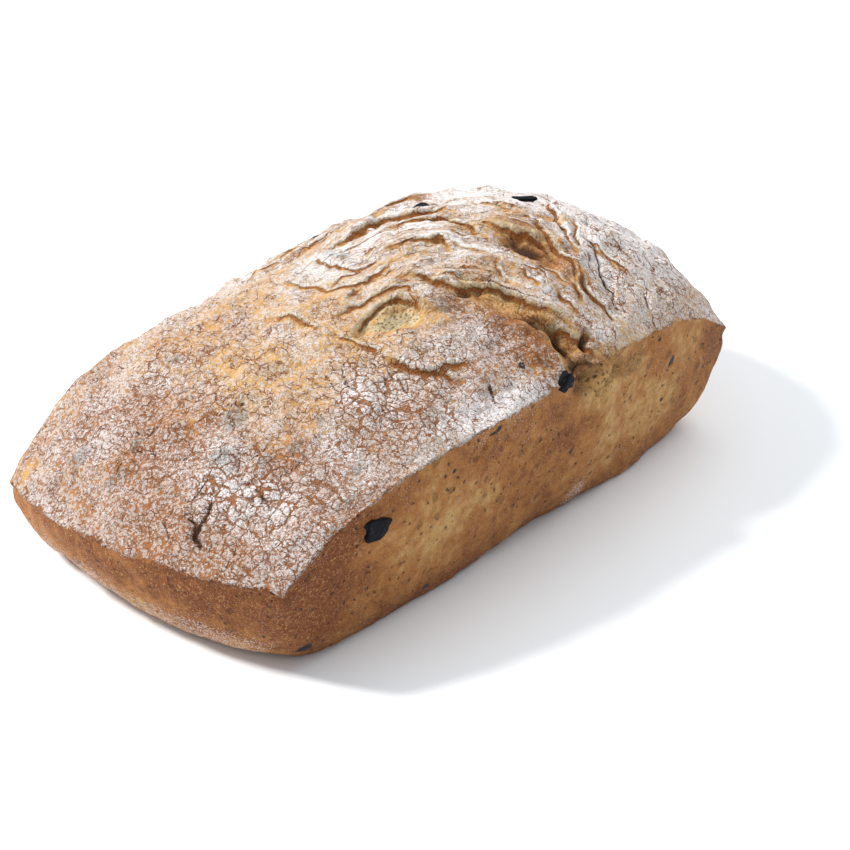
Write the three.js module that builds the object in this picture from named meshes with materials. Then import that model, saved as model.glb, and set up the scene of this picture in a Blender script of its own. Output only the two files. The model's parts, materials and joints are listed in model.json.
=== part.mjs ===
// An olive ciabatta, modelled as the one baked piece that it is.
//
// Frame, in millimetres: +X runs along the loaf towards its taller end, +Y across it, +Z up. The origin is
// the middle of the loaf's length and width, on the surface that it stands on.
//
// The dough was cut from a floured slab, so a rim runs all the way round: above it lies the crust that was
// the slab's floured skin, domed by the oven, and below it the bare cut wall curls under to a flat base.
// Every point of the surface is placed by two shares, along and across, that run from -1 to 1 over the
// plan, and a third, up, that runs from 0 at the base to 1 at the rim.

import * as THREE from "three";
import { mergeVertices } from "three/addons/utils/BufferGeometryUtils.js";

// Plan of the rim.
const HALF_LENGTH = 120;
const HALF_WIDTH = 68;
const CORNER_ROUNDING = 0.39; // 0 leaves square corners and 1 makes an ellipse

// Height of the rim at its corners and at the middle of each edge. "Low" is the -X end.
const RIM = {
  lowFront: 33,
  lowBack: 22,
  highFront: 36,
  highBack: 35,
  frontMiddle: 56,
  backMiddle: 49,
  lowMiddle: 29,
  highMiddle: 50,
};
const BACK_RIM_SHIFT = -0.19; // how far the back rim's crest leans towards the low end
const BACK_RIM_FLATNESS = 1.3; // above 1 the back rim is flatter along its middle than the front one

// The dome that the crust makes over the rim.
const DOME_HEIGHT = 17;
const DOME_LEAN = 0.47; // share by which the dome is higher towards the high end
const DOME_ACROSS_POWER = 2.2;

// The wall's curl from the rim in to the base.
const BASE_INSET_ENDS = 18;
const BASE_INSET_SIDES = 8;
const WAIST = { along: 0.12, reach: 0.55, depth: 6 }; // the long front side draws in at its foot
const WALL_ROUNDNESS = 0.95; // 1 is a quarter ellipse, 0 a straight slope

// Slow swells of the crust, each a wave over the plan: height, waves along and across, and phase.
const SWELLS = [
  { height: 0.9, along: 2.1, across: 1.3, phase: 0.6 },
  { height: 0.6, along: -3.4, across: 2.2, phase: 2.1 },
  { height: 0.4, along: 4.7, across: -2.9, phase: 4.0 },
];

// Folds in the crust. Each path's points are shares of the plan. The crust on the path's left stands up in
// a lip, "lip" high, that dies away over "reach" millimetres, and the crust on its right is drawn down.
const FOLDS = [
  {
    lip: 3.2,
    reach: 9,
    path: [
      [0.1, 0.52], [0.22, 0.34], [0.33, 0.15], [0.35, -0.08],
      [0.41, -0.3], [0.4, -0.52], [0.42, -0.72], [0.41, -0.9],
    ],
  },
  {
    lip: 2.4,
    reach: 8,
    path: [[-0.1, -0.02], [0, -0.18], [0.05, -0.33], [0.12, -0.46], [0.21, -0.63], [0.27, -0.8]],
  },
  {
    lip: 2.2,
    reach: 8,
    path: [[-0.26, -0.2], [-0.17, -0.2], [-0.08, -0.24], [-0.06, -0.36], [0.02, -0.44], [0.1, -0.52]],
  },
  {
    lip: 1.8,
    reach: 8,
    path: [[0.66, 0.1], [0.6, -0.14], [0.52, -0.36], [0.5, -0.56], [0.47, -0.8]],
  },
  {
    lip: -1.5,
    reach: 7,
    path: [[-0.66, -0.42], [-0.5, -0.38], [-0.38, -0.31], [-0.28, -0.2]],
  },
];
const FOLD_STEP = 2.5; // half the width over which a lip rises
const FOLD_SAMPLES = 60;

// Hollows where the crust tore open: middle, size along and across as shares, and depth.
const HOLLOWS = [
  { along: 0.37, across: -0.37, longShare: 0.045, wideShare: 0.17, depth: 4.5 },
  { along: -0.14, across: -0.31, longShare: 0.07, wideShare: 0.09, depth: 3.0 },
  { along: 0.2, across: -0.82, longShare: 0.04, wideShare: 0.12, depth: 4.0 },
  { along: 0.2, across: -0.98, longShare: 0.09, wideShare: 0.08, depth: 3.0 },
];

// Facets along, across and up the wall.
const FACETS = { along: 56, across: 32, up: 7 };

const CRUST_COLOUR = 0xd9b48a;

// A crest from 0 at both ends of an edge to 1 at its middle.
const crest = (share, flatness) =>
  flatness * (1 - share ** 4) + (1 - flatness) * (1 - share ** 2);

// Moves a square's point into a rounded rectangle with the given half sides.
function planPoint(along, across, halfLength, halfWidth) {
  return [
    halfLength * along * Math.sqrt(1 - (CORNER_ROUNDING * across ** 2) / 2),
    halfWidth * across * Math.sqrt(1 - (CORNER_ROUNDING * along ** 2) / 2),
  ];
}

// Height of the crust before folds: the surface that spans the four rim edges, with the dome on top.
function domeHeight(along, across) {
  const s = (1 + along) / 2;
  const t = (1 + across) / 2;
  const edge = (from, to, share) => from * (1 - share) + to * share;
  const bow = (middle, from, to) => middle - (from + to) / 2;
  const front =
    edge(RIM.lowFront, RIM.highFront, s) +
    bow(RIM.frontMiddle, RIM.lowFront, RIM.highFront) * crest(along, 1);
  const back =
    edge(RIM.lowBack, RIM.highBack, s) +
    bow(RIM.backMiddle, RIM.lowBack, RIM.highBack) *
      crest(along, BACK_RIM_FLATNESS) * (1 + BACK_RIM_SHIFT * along);
  const low =
    edge(RIM.lowFront, RIM.lowBack, t) +
    bow(RIM.lowMiddle, RIM.lowFront, RIM.lowBack) * crest(across, 0);
  const high =
    edge(RIM.highFront, RIM.highBack, t) +
    bow(RIM.highMiddle, RIM.highFront, RIM.highBack) * crest(across, 0);
  const corners =
    edge(edge(RIM.lowFront, RIM.highFront, s), edge(RIM.lowBack, RIM.highBack, s), t);
  const spanned = edge(front, back, t) + edge(low, high, s) - corners;
  const dome =
    DOME_HEIGHT * (1 - along ** 2) * (1 - Math.abs(across) ** DOME_ACROSS_POWER) *
    (1 + DOME_LEAN * along);
  return spanned + dome;
}

// Each fold's path in plan millimetres, sampled finely enough to measure distances from.
const foldPaths = FOLDS.map(({ path }) =>
  new THREE.SplineCurve(
    path.map(([along, across]) => new THREE.Vector2(along * HALF_LENGTH, across * HALF_WIDTH)),
  ).getPoints(FOLD_SAMPLES),
);

// How far a fold lifts the crust at a plan point: a lip on one side of its path and a trough on the other.
function foldLift(fold, points, place) {
  let nearest = 0;
  points.forEach((p, i) => {
    if (p.distanceToSquared(place) < points[nearest].distanceToSquared(place)) nearest = i;
  });
  const from = points[Math.max(nearest - 1, 0)];
  const to = points[Math.min(nearest + 1, FOLD_SAMPLES)];
  const tangent = to.clone().sub(from).normalize();
  const offset = place.clone().sub(points[nearest]);
  const side = tangent.cross(offset);
  const taper = Math.sin((Math.PI * nearest) / FOLD_SAMPLES) ** 0.5;
  return fold.lip * taper * Math.tanh(side / FOLD_STEP) * Math.exp(-offset.length() / fold.reach);
}

const hollowDepth = (hollow, along, across) =>
  hollow.depth *
  Math.exp(
    -(((along - hollow.along) / hollow.longShare) ** 2) -
      ((across - hollow.across) / hollow.wideShare) ** 2,
  );

// Height of the finished crust. Folds and swells die away at the rim, so that its edge stays clean.
function crustHeight(along, across) {
  const place = new THREE.Vector2(along * HALF_LENGTH, across * HALF_WIDTH);
  const inside = Math.min(1, 4 * (1 - Math.max(Math.abs(along), Math.abs(across))));
  const folds = FOLDS.reduce((sum, f, i) => sum + foldLift(f, foldPaths[i], place), 0);
  const swell = SWELLS.reduce(
    (sum, w) => sum + w.height * Math.sin(w.along * along + w.across * across + w.phase),
    0,
  );
  const hollows = HOLLOWS.reduce((sum, h) => sum + hollowDepth(h, along, across), 0);
  return domeHeight(along, across) + (folds + swell) * inside - hollows;
}

// A point of the base's outline, drawn in under the rim and at the front side's waist.
function basePoint(along, across) {
  const [x, y] = planPoint(
    along, across, HALF_LENGTH - BASE_INSET_ENDS, HALF_WIDTH - BASE_INSET_SIDES,
  );
  const waist = WAIST.depth * Math.exp(-(((along - WAIST.along) / WAIST.reach) ** 2));
  return [x, across < 0 ? y - waist * across : y];
}

// A point of the wall: up is 1 at the rim and 0 at the base.
function wallPoint(along, across, up) {
  const [rimX, rimY] = planPoint(along, across, HALF_LENGTH, HALF_WIDTH);
  const [baseX, baseY] = basePoint(along, across);
  const angle = ((1 - up) * Math.PI) / 2;
  const mix = (round, straight) => WALL_ROUNDNESS * round + (1 - WALL_ROUNDNESS) * straight;
  const drop = mix(Math.sin(angle), 1 - up);
  const inward = mix(1 - Math.cos(angle), 1 - up);
  return [
    rimX + (baseX - rimX) * inward,
    rimY + (baseY - rimY) * inward,
    up > 0 ? crustHeight(along, across) * (1 - drop) : 0,
  ];
}

// Drops a box's underside and closes its wall with one flat face inside the wall's lowest ring.
function flatUnderside(geometry) {
  const open = geometry.clone();
  const underside = geometry.groups[5]; // BoxGeometry's sixth group is its -Z face
  const kept = Array.from(geometry.index.array);
  kept.splice(underside.start, underside.count);
  const position = open.getAttribute("position");
  const cornerKey = (i) => `${position.getX(i).toFixed(3)},${position.getY(i).toFixed(3)}`;
  const bearing = (i) => Math.atan2(position.getY(i), position.getX(i));
  const low = new Map(
    kept.filter((i) => position.getZ(i) === 0).map((i) => [cornerKey(i), i]),
  );
  const ring = [...low.values()].sort((a, b) => bearing(a) - bearing(b));
  const outline = ring.map((i) => new THREE.Vector2(position.getX(i), position.getY(i)));
  THREE.ShapeUtils.triangulateShape(outline, []).forEach(([a, b, c]) => {
    kept.push(ring[a], ring[c], ring[b]);
  });
  open.setIndex(kept);
  return open;
}

// The loaf: a box whose top becomes the crust and whose sides become the wall.
function loafGeometry() {
  const box = new THREE.BoxGeometry(2, 2, 1, FACETS.along, FACETS.across, FACETS.up);
  box.translate(0, 0, 0.5);
  const position = box.getAttribute("position");
  for (let i = 0; i < position.count; i++) {
    const [along, across, up] = [position.getX(i), position.getY(i), position.getZ(i)];
    const onTop = up === 1 && Math.abs(along) < 1 && Math.abs(across) < 1;
    const point = onTop
      ? [...planPoint(along, across, HALF_LENGTH, HALF_WIDTH), crustHeight(along, across)]
      : wallPoint(along, across, up);
    position.setXYZ(i, ...point);
  }
  const open = flatUnderside(box);
  open.deleteAttribute("normal");
  open.deleteAttribute("uv");
  const closed = mergeVertices(open, 1e-3);
  closed.computeVertexNormals();
  return closed;
}

const loaf = new THREE.Mesh(
  loafGeometry(),
  new THREE.MeshStandardMaterial({ color: CRUST_COLOUR, roughness: 0.85, metalness: 0 }),
);
loaf.name = "loaf";

const ciabatta = new THREE.Group();
ciabatta.add(loaf);

export default ciabatta;
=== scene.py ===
"""The looks of an olive ciabatta: one baked loaf with a floured, cracked crust and bare cut sides.

Lengths are in millimetres until a mesh is written, which is in metres. A place on the crust is a pair of
shares, along and across, from -1 to 1 over the loaf's plan. A place on a wall is a share along that wall
and a share down it, from 0 at the rim to 1 at the base.
"""

import itertools
import json
import logging
import math
from dataclasses import dataclass, field
from enum import Enum
from typing import Any, Sequence

import bpy
import numpy as np
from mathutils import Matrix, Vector

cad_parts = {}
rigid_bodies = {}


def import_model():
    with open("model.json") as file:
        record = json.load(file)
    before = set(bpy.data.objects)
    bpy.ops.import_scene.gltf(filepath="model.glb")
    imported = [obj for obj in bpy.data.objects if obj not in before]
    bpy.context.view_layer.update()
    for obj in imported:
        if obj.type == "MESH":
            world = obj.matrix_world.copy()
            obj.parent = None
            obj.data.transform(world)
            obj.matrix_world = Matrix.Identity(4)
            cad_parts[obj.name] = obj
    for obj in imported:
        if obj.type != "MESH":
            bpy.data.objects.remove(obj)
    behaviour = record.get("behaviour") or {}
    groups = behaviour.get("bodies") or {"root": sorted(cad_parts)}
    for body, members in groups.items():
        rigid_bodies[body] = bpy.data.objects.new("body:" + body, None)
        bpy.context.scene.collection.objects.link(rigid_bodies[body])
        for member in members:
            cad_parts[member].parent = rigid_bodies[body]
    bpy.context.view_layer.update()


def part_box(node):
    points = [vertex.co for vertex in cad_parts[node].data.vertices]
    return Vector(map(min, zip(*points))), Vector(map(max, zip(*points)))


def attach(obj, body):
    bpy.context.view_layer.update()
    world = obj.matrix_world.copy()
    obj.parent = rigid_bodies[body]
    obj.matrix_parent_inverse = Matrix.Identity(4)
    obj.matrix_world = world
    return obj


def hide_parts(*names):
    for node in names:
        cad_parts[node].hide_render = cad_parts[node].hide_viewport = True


Array = np.ndarray
Share = tuple[float, float]
Pair = tuple[float, float]
Colour = tuple[float, float, float]

MM = 0.001
OCTAVE_SHIFT = 17.3  # moves each octave's lattice, so that their corners don't meet
FAR = 9.0  # millimetres: what a mark holds where no fold, split or olive is near
LOG = logging.getLogger("ciabatta")


# ---------------------------------------------------------------- noise and curves


def hashed(cells: Array, seed: int) -> Array:
    """Gives each whole-number cell a steady random value.

    The three coordinates are multiplied by large primes, mixed by exclusive-or and shifted.

    Args:
        cells: whole numbers, N by 3.
        seed: picks one of many patterns.

    Returns:
        N values from 0 to 1.
    """
    mixed = cells[:, 0] * 73856093 ^ cells[:, 1] * 19349663 ^ cells[:, 2] * 83492791 ^ seed * 2654435
    mixed = (mixed ^ (mixed >> 13)) * 1274126177
    return ((mixed ^ (mixed >> 16)) & 0xFFFFF) / 0xFFFFF


def value_noise(points: Array, seed: int) -> Array:
    """Smooth noise: random values on a unit lattice, blended by a cubic between the eight corners.

    Args:
        points: places, N by 3, in lattice units.
        seed: picks the pattern.

    Returns:
        N values from -1 to 1.
    """
    cell = np.floor(points).astype(np.int64)
    part = points - cell
    part = part * part * part * (part * (part * 6 - 15) + 10)
    total = np.zeros(len(points))
    for corner in itertools.product((0, 1), repeat=3):
        weight = np.prod(np.where(corner, part, 1 - part), axis=1)
        total += weight * hashed(cell + corner, seed)
    return total * 2 - 1


def rough(points: Array, size: float, octaves: int, seed: int) -> Array:
    """Noise summed over octaves, each half as large and half as strong as the one before.

    Args:
        points: places in millimetres, N by 3.
        size: the largest lump, in millimetres.
        octaves: how many sizes are summed.
        seed: picks the pattern.

    Returns:
        N values, mostly from -1 to 1.
    """
    total = np.zeros(len(points))
    for k in range(octaves):
        total += value_noise(points / size * 2**k + OCTAVE_SHIFT * k, seed + k) * 0.5**k
    return total


def lumpy(points: Array, lumps: Sequence[tuple[float, float, int]]) -> Array:
    """Adds up two octaves of noise for each of a list of lumps: a height, a size and a seed."""
    return sum(height * rough(points, size, 2, seed) for height, size, seed in lumps)


def smooth_step(low: float, high: float, value: Array) -> Array:
    """Rises from 0 at low to 1 at high on a cubic with level ends."""
    share = np.clip((value - low) / (high - low), 0, 1)
    return share * share * (3 - 2 * share)


def spline(points: Sequence[Share], steps: int = 8) -> Array:
    """Draws a Catmull-Rom curve through points, with the end points doubled.

    Args:
        points: the points, each a pair.
        steps: straight pieces to each span.

    Returns:
        The curve's points, M by 2.
    """
    p = np.array(points, float)
    p = np.vstack([2 * p[0] - p[1], p, 2 * p[-1] - p[-2]])
    t = np.linspace(0, 1, steps, endpoint=False)[:, None]
    spans = [
        0.5 * (2 * b + (c - a) * t + (2 * a - 5 * b + 4 * c - d) * t**2 + (3 * b - a - 3 * c + d) * t**3)
        for a, b, c, d in zip(p, p[1:], p[2:], p[3:])
    ]
    return np.vstack(spans + [p[-2]])


def follow(places: Array, path: Array) -> tuple[Array, Array, Array]:
    """Finds each place's nearest point on a path.

    Args:
        places: N by 2.
        path: the path's points, M by 2.

    Returns:
        The signed distance, positive on the path's left; the share of the path's length at the nearest
        point; and the unit direction from the path's right to its left there, N by 2.
    """
    best = np.full(len(places), np.inf)
    signed, share = np.zeros(len(places)), np.zeros(len(places))
    left = np.zeros((len(places), 2))
    lengths = np.linalg.norm(np.diff(path, axis=0), axis=1)
    starts = np.concatenate([[0], np.cumsum(lengths)])
    for a, b, length, start in zip(path, path[1:], lengths, starts):
        ahead = (b - a) / length
        offset = places - a
        run = np.clip(offset @ ahead, 0, length)
        gap = offset - run[:, None] * ahead
        distance = np.hypot(gap[:, 0], gap[:, 1])
        side = ahead[0] * offset[:, 1] - ahead[1] * offset[:, 0]
        nearer = distance < best
        best = np.where(nearer, distance, best)
        signed = np.where(nearer, np.where(side >= 0, distance, -distance), signed)
        share = np.where(nearer, (start + run) / starts[-1], share)
        left[nearer] = (-ahead[1], ahead[0])
    return signed, share, left


def smooth_mesh(name: str, points: Array, faces: list[Any]) -> bpy.types.Mesh:
    """Writes a smooth-shaded mesh.

    Args:
        name: the mesh's name.
        points: its points in millimetres, N by 3.
        faces: its faces, each the numbers of its points.

    Returns:
        The mesh, in metres.
    """
    mesh = bpy.data.meshes.new(name)
    mesh.from_pydata((points * MM).tolist(), [], faces)
    mesh.update()
    mesh.shade_smooth()
    return mesh


def stand(name: str, data: Any) -> bpy.types.Object:
    """Puts a mesh, a lamp or a camera into the scene.

    Args:
        name: the object's name.
        data: its mesh, lamp or camera.

    Returns:
        The object, at the origin.
    """
    piece = bpy.data.objects.new(name, data)
    bpy.context.scene.collection.objects.link(piece)
    return piece


# ---------------------------------------------------------------- the loaf's form


class Region(Enum):
    """The loaf's faces. Each wall's value is the row of its outward direction in OUTWARD."""

    FRONT = 0
    HIGH_END = 1
    BACK = 2
    LOW_END = 3
    CRUST = 4
    UNDERSIDE = 5


# The flat map, in millimetres: the room that it leaves for the walls, and the scales it draws at.
END_ROOM = 56.0
SIDE_ROOM = 62.0
MAP_MARGIN = 2
BASE_GAP = 3
WALL_STRETCH = 1.12  # a wall's length along its curve, over its height
WALL_SCALE = 0.98
BASE_SCALE = 0.7

OUTWARD = np.array([(0, -1), (1, 0), (0, 1), (-1, 0)], float)


@dataclass(frozen=True)
class Rim:
    """Heights of the rim at its corners and at the middle of each edge; "low" is the -X end.

    Back lean makes the back edge's crest taller towards the low end, and back flatness squares it off.
    """

    low_front: float = 33
    low_back: float = 22
    high_front: float = 36
    high_back: float = 35
    front_middle: float = 56
    back_middle: float = 49
    low_middle: float = 29
    high_middle: float = 50
    back_lean: float = -0.19
    back_flatness: float = 1.3


@dataclass(frozen=True)
class LoafForm:
    """The loaf's smooth form: a domed crust spanned between four rim edges, over walls that curl under."""

    half_length: float
    half_width: float
    rim: Rim = Rim()
    corner_rounding: float = 0.39
    dome: float = 17
    dome_lean: float = 0.47
    dome_power: float = 2.2
    inset_ends: float = 18
    inset_sides: float = 8
    roundness: float = 0.95
    waist: tuple[float, float, float] = (0.12, 0.55, 6)  # along, reach, depth

    def plan(self, along: Array, across: Array, half_length: float, half_width: float) -> Array:
        """Moves a square's points into a rounded rectangle.

        Each coordinate is shrunk by the root of one less half the rounding times the other's square.

        Args:
            along, across: shares.
            half_length, half_width: the rectangle's half sides.

        Returns:
            Plan points, N by 2.
        """
        x = half_length * along * np.sqrt(1 - self.corner_rounding * across**2 / 2)
        y = half_width * across * np.sqrt(1 - self.corner_rounding * along**2 / 2)
        return np.stack([x, y], -1)

    def crust_height(self, along: Array, across: Array) -> Array:
        """Height of the crust: the surface spanning the four rim edges, plus a dome that is 0 on them.

        Each edge is a straight line between its corners plus a crest, a blend of one less the share's
        square and one less its fourth power. The spanning surface adds what the two pairs of edges give
        and takes away the bilinear surface of the corners.

        Args:
            along, across: shares.

        Returns:
            Heights in millimetres.
        """
        r = self.rim
        s, t = (1 + along) / 2, (1 + across) / 2

        def edge(a: float, b: float, middle: float, share: Array, flatness: float) -> Array:
            """One rim edge's height at a share, from the heights of its corners and its middle."""
            crest = flatness * (1 - share**4) + (1 - flatness) * (1 - share**2)
            return a + (b - a) * (1 + share) / 2 + (middle - (a + b) / 2) * crest

        lean = 1 + r.back_lean * along
        front = edge(r.low_front, r.high_front, r.front_middle, along, 1)
        straight_back = r.low_back + (r.high_back - r.low_back) * s
        back = edge(r.low_back, r.high_back, r.back_middle, along, r.back_flatness)
        back = straight_back + (back - straight_back) * lean
        low = edge(r.low_front, r.low_back, r.low_middle, across, 0)
        high = edge(r.high_front, r.high_back, r.high_middle, across, 0)
        straight_front = r.low_front + (r.high_front - r.low_front) * s
        corners = straight_front * (1 - t) + straight_back * t
        spanned = front * (1 - t) + back * t + low * (1 - s) + high * s - corners
        dome = self.dome * (1 - along**2) * (1 - np.abs(across) ** self.dome_power)
        return spanned + dome * (1 + self.dome_lean * along)

    def crust(self, along: Array, across: Array) -> Array:
        """Points of the smooth crust, N by 3."""
        xy = self.plan(along, across, self.half_length, self.half_width)
        return np.column_stack([xy, self.crust_height(along, across)])

    def wall(self, along: Array, across: Array, down: Array) -> Array:
        """Points of the smooth wall below a rim point: mostly a quarter ellipse from rim to base.

        Args:
            along, across: shares of the rim point, one of them 1 or -1.
            down: 0 at the rim and 1 at the base.

        Returns:
            Points, N by 3.
        """
        rim = self.plan(along, across, self.half_length, self.half_width)
        base = self.plan(
            along, across, self.half_length - self.inset_ends, self.half_width - self.inset_sides
        )
        place, reach, depth = self.waist
        pinch = depth * np.exp(-(((along - place) / reach) ** 2))
        base[:, 1] -= np.where(across < 0, pinch * across, 0)
        angle = down * math.pi / 2
        drop = self.roundness * np.sin(angle) + (1 - self.roundness) * down
        inward = self.roundness * (1 - np.cos(angle)) + (1 - self.roundness) * down
        xy = rim + (base - rim) * inward[:, None]
        return np.column_stack([xy, self.crust_height(along, across) * (1 - drop)])

    def place(self, region: Region, share: Share) -> Array:
        """The point of the smooth form at a place on the crust or on one of the walls.

        Args:
            region: the crust, or the wall that the place is on.
            share: the place, along and across the crust, or along the wall and down it.

        Returns:
            The point in millimetres.
        """
        first, second = np.array([share[0]], float), np.array([share[1]], float)
        if region is Region.CRUST:
            return self.crust(first, second)[0]
        if region is Region.FRONT:
            return self.wall(first, -np.ones(1), second)[0]
        if region is Region.BACK:
            return self.wall(first, np.ones(1), second)[0]
        if region is Region.HIGH_END:
            return self.wall(np.ones(1), first, second)[0]
        return self.wall(-np.ones(1), first, second)[0]


# ---------------------------------------------------------------- what breaks the smooth form


class FoldKind(Enum):
    """How the crust is broken along a path."""

    LAP = "one side stands up and leans out over the other"
    SPLIT = "a narrow crack through the flour skin"
    WELT = "a raised cord of stretched dough"


@dataclass(frozen=True)
class Fold:
    """A line where the crust folded or split. The left of the path is the side that stands up.

    The sizes are in millimetres: height is the lap's lip, the welt's height or the split's depth, and
    reach is how far that spreads. Dip is how far the other side of a lap sinks, and lean how far its lip
    hangs over it, before LEAN_SHARE. Bare is the share of crumb that shows in the dip, and gold is how
    golden the lip or the welt is.
    """

    kind: FoldKind
    path: tuple[Share, ...]
    height: float
    reach: float = 5
    dip: float = 0
    lean: float = 0
    bare: float = 0
    gold: float = 0.8
    in_plan: bool = False  # the path is given in millimetres instead of shares


@dataclass(frozen=True)
class Spot:
    """A round or oval place on the loaf: its region, place, half sizes in millimetres and turn in degrees.

    Amount is a depth, a height or a share, as its list says.
    """

    region: Region
    place: Share
    long: float
    wide: float
    amount: float = 1
    turn: float = 0


@dataclass(frozen=True)
class Fan:
    """Thin splits that spread from a place on the crust, each up to a length in millimetres.

    A pair is the least and most of a random size: where a ray starts and ends, as shares of the length,
    and how deep it is. Spread is in radians.
    """

    place: Share
    length: float
    rays: int
    start: Pair = (0.1, 0.35)
    end: Pair = (0.6, 1.0)
    spread: float = 0.25
    sway: float = 0.7
    depth: Pair = (0.2, 0.7)
    reach: float = 0.8
    points: int = 5


@dataclass(frozen=True)
class Trace:
    """The crust's points near a fold's path.

    Signed is the distance from the path in millimetres, positive on its left. Taper falls to 0 at the
    path's ends. Left is the unit direction across the path, from its right to its left.
    """

    ids: Array
    signed: Array
    taper: Array
    left: Array


@dataclass(frozen=True)
class Rings:
    """The rings that the torn middle's wrinkles follow, and the thin laps laid along them.

    Lengths are in millimetres and angles in degrees. A pair is the least and most of a random size.
    """

    centre: Share = (-0.1, -0.92)
    squash: float = 0.72  # of the rings, across the loaf
    first: float = 38
    last: float = 98
    step: float = 4.2
    begin: Pair = (75, 108)
    end: float = 14
    span: Pair = (10, 26)  # of a lap, on a ring of span_radius
    span_radius: float = 60
    pause: Pair = (4, 26)
    points: int = 6
    offset: float = 1.3
    sway: float = 0.8
    height: Pair = (0.4, 1.2)
    reach: float = 2.2
    depth_share: float = 0.7  # of a lap's height, for its dip and its lean
    gold: float = 0.3
    limits: Pair = (0.72, 0.86)  # shares of the loaf's half sides that the laps stay within


LAP, SPLIT, WELT = FoldKind.LAP, FoldKind.SPLIT, FoldKind.WELT
CRUST, FRONT, LOW_END = Region.CRUST, Region.FRONT, Region.LOW_END
HIGH_END, BACK = Region.HIGH_END, Region.BACK

# The crust's slow swells: how high in millimetres, waves along and across in radians, and their shift.
SWELLS = ((0.9, 2.1, 1.3, 0.6), (0.6, -3.4, 2.2, 2.1), (0.4, 4.7, -2.9, 4.0))

# Lumps of the crust and of the cut walls, each a height and a size in millimetres and a seed.
CRUST_LUMPS = ((1.7, 19, 3), (1.2, 8, 11), (0.3, 2.6, 23))
WALL_LUMPS = ((1.0, 26, 71), (0.4, 7, 83), (0.13, 2.2, 97))

# The torn stretch of the crust: its middle and reach along the loaf, and where it fades in across it.
TORN_MIDDLE = 0.22
TORN_REACH = 0.42
TORN_FRONT = (-0.75, -0.35)
FLOW_SQUEEZE = 0.22  # draws noise out along the rings

# The cut wall's tuck under the floured skin and the skin's own ledge: how far in millimetres, and where
# and how wide as shares of the way down.
TUCK, TUCK_PLACE, TUCK_WIDTH = 0.35, 0.045, 0.03
LEDGE, LEDGE_WIDTH = 0.25, 0.012

LAP_STEP = 1.1  # millimetres from a lap's path to where it stands or sinks in full
NEAR_WIDTH = 1.8  # millimetres either side of a lap that its lip and crevice are drawn in
LEAN_SHARE = 0.35  # how much of a lap's lean is used

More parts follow.
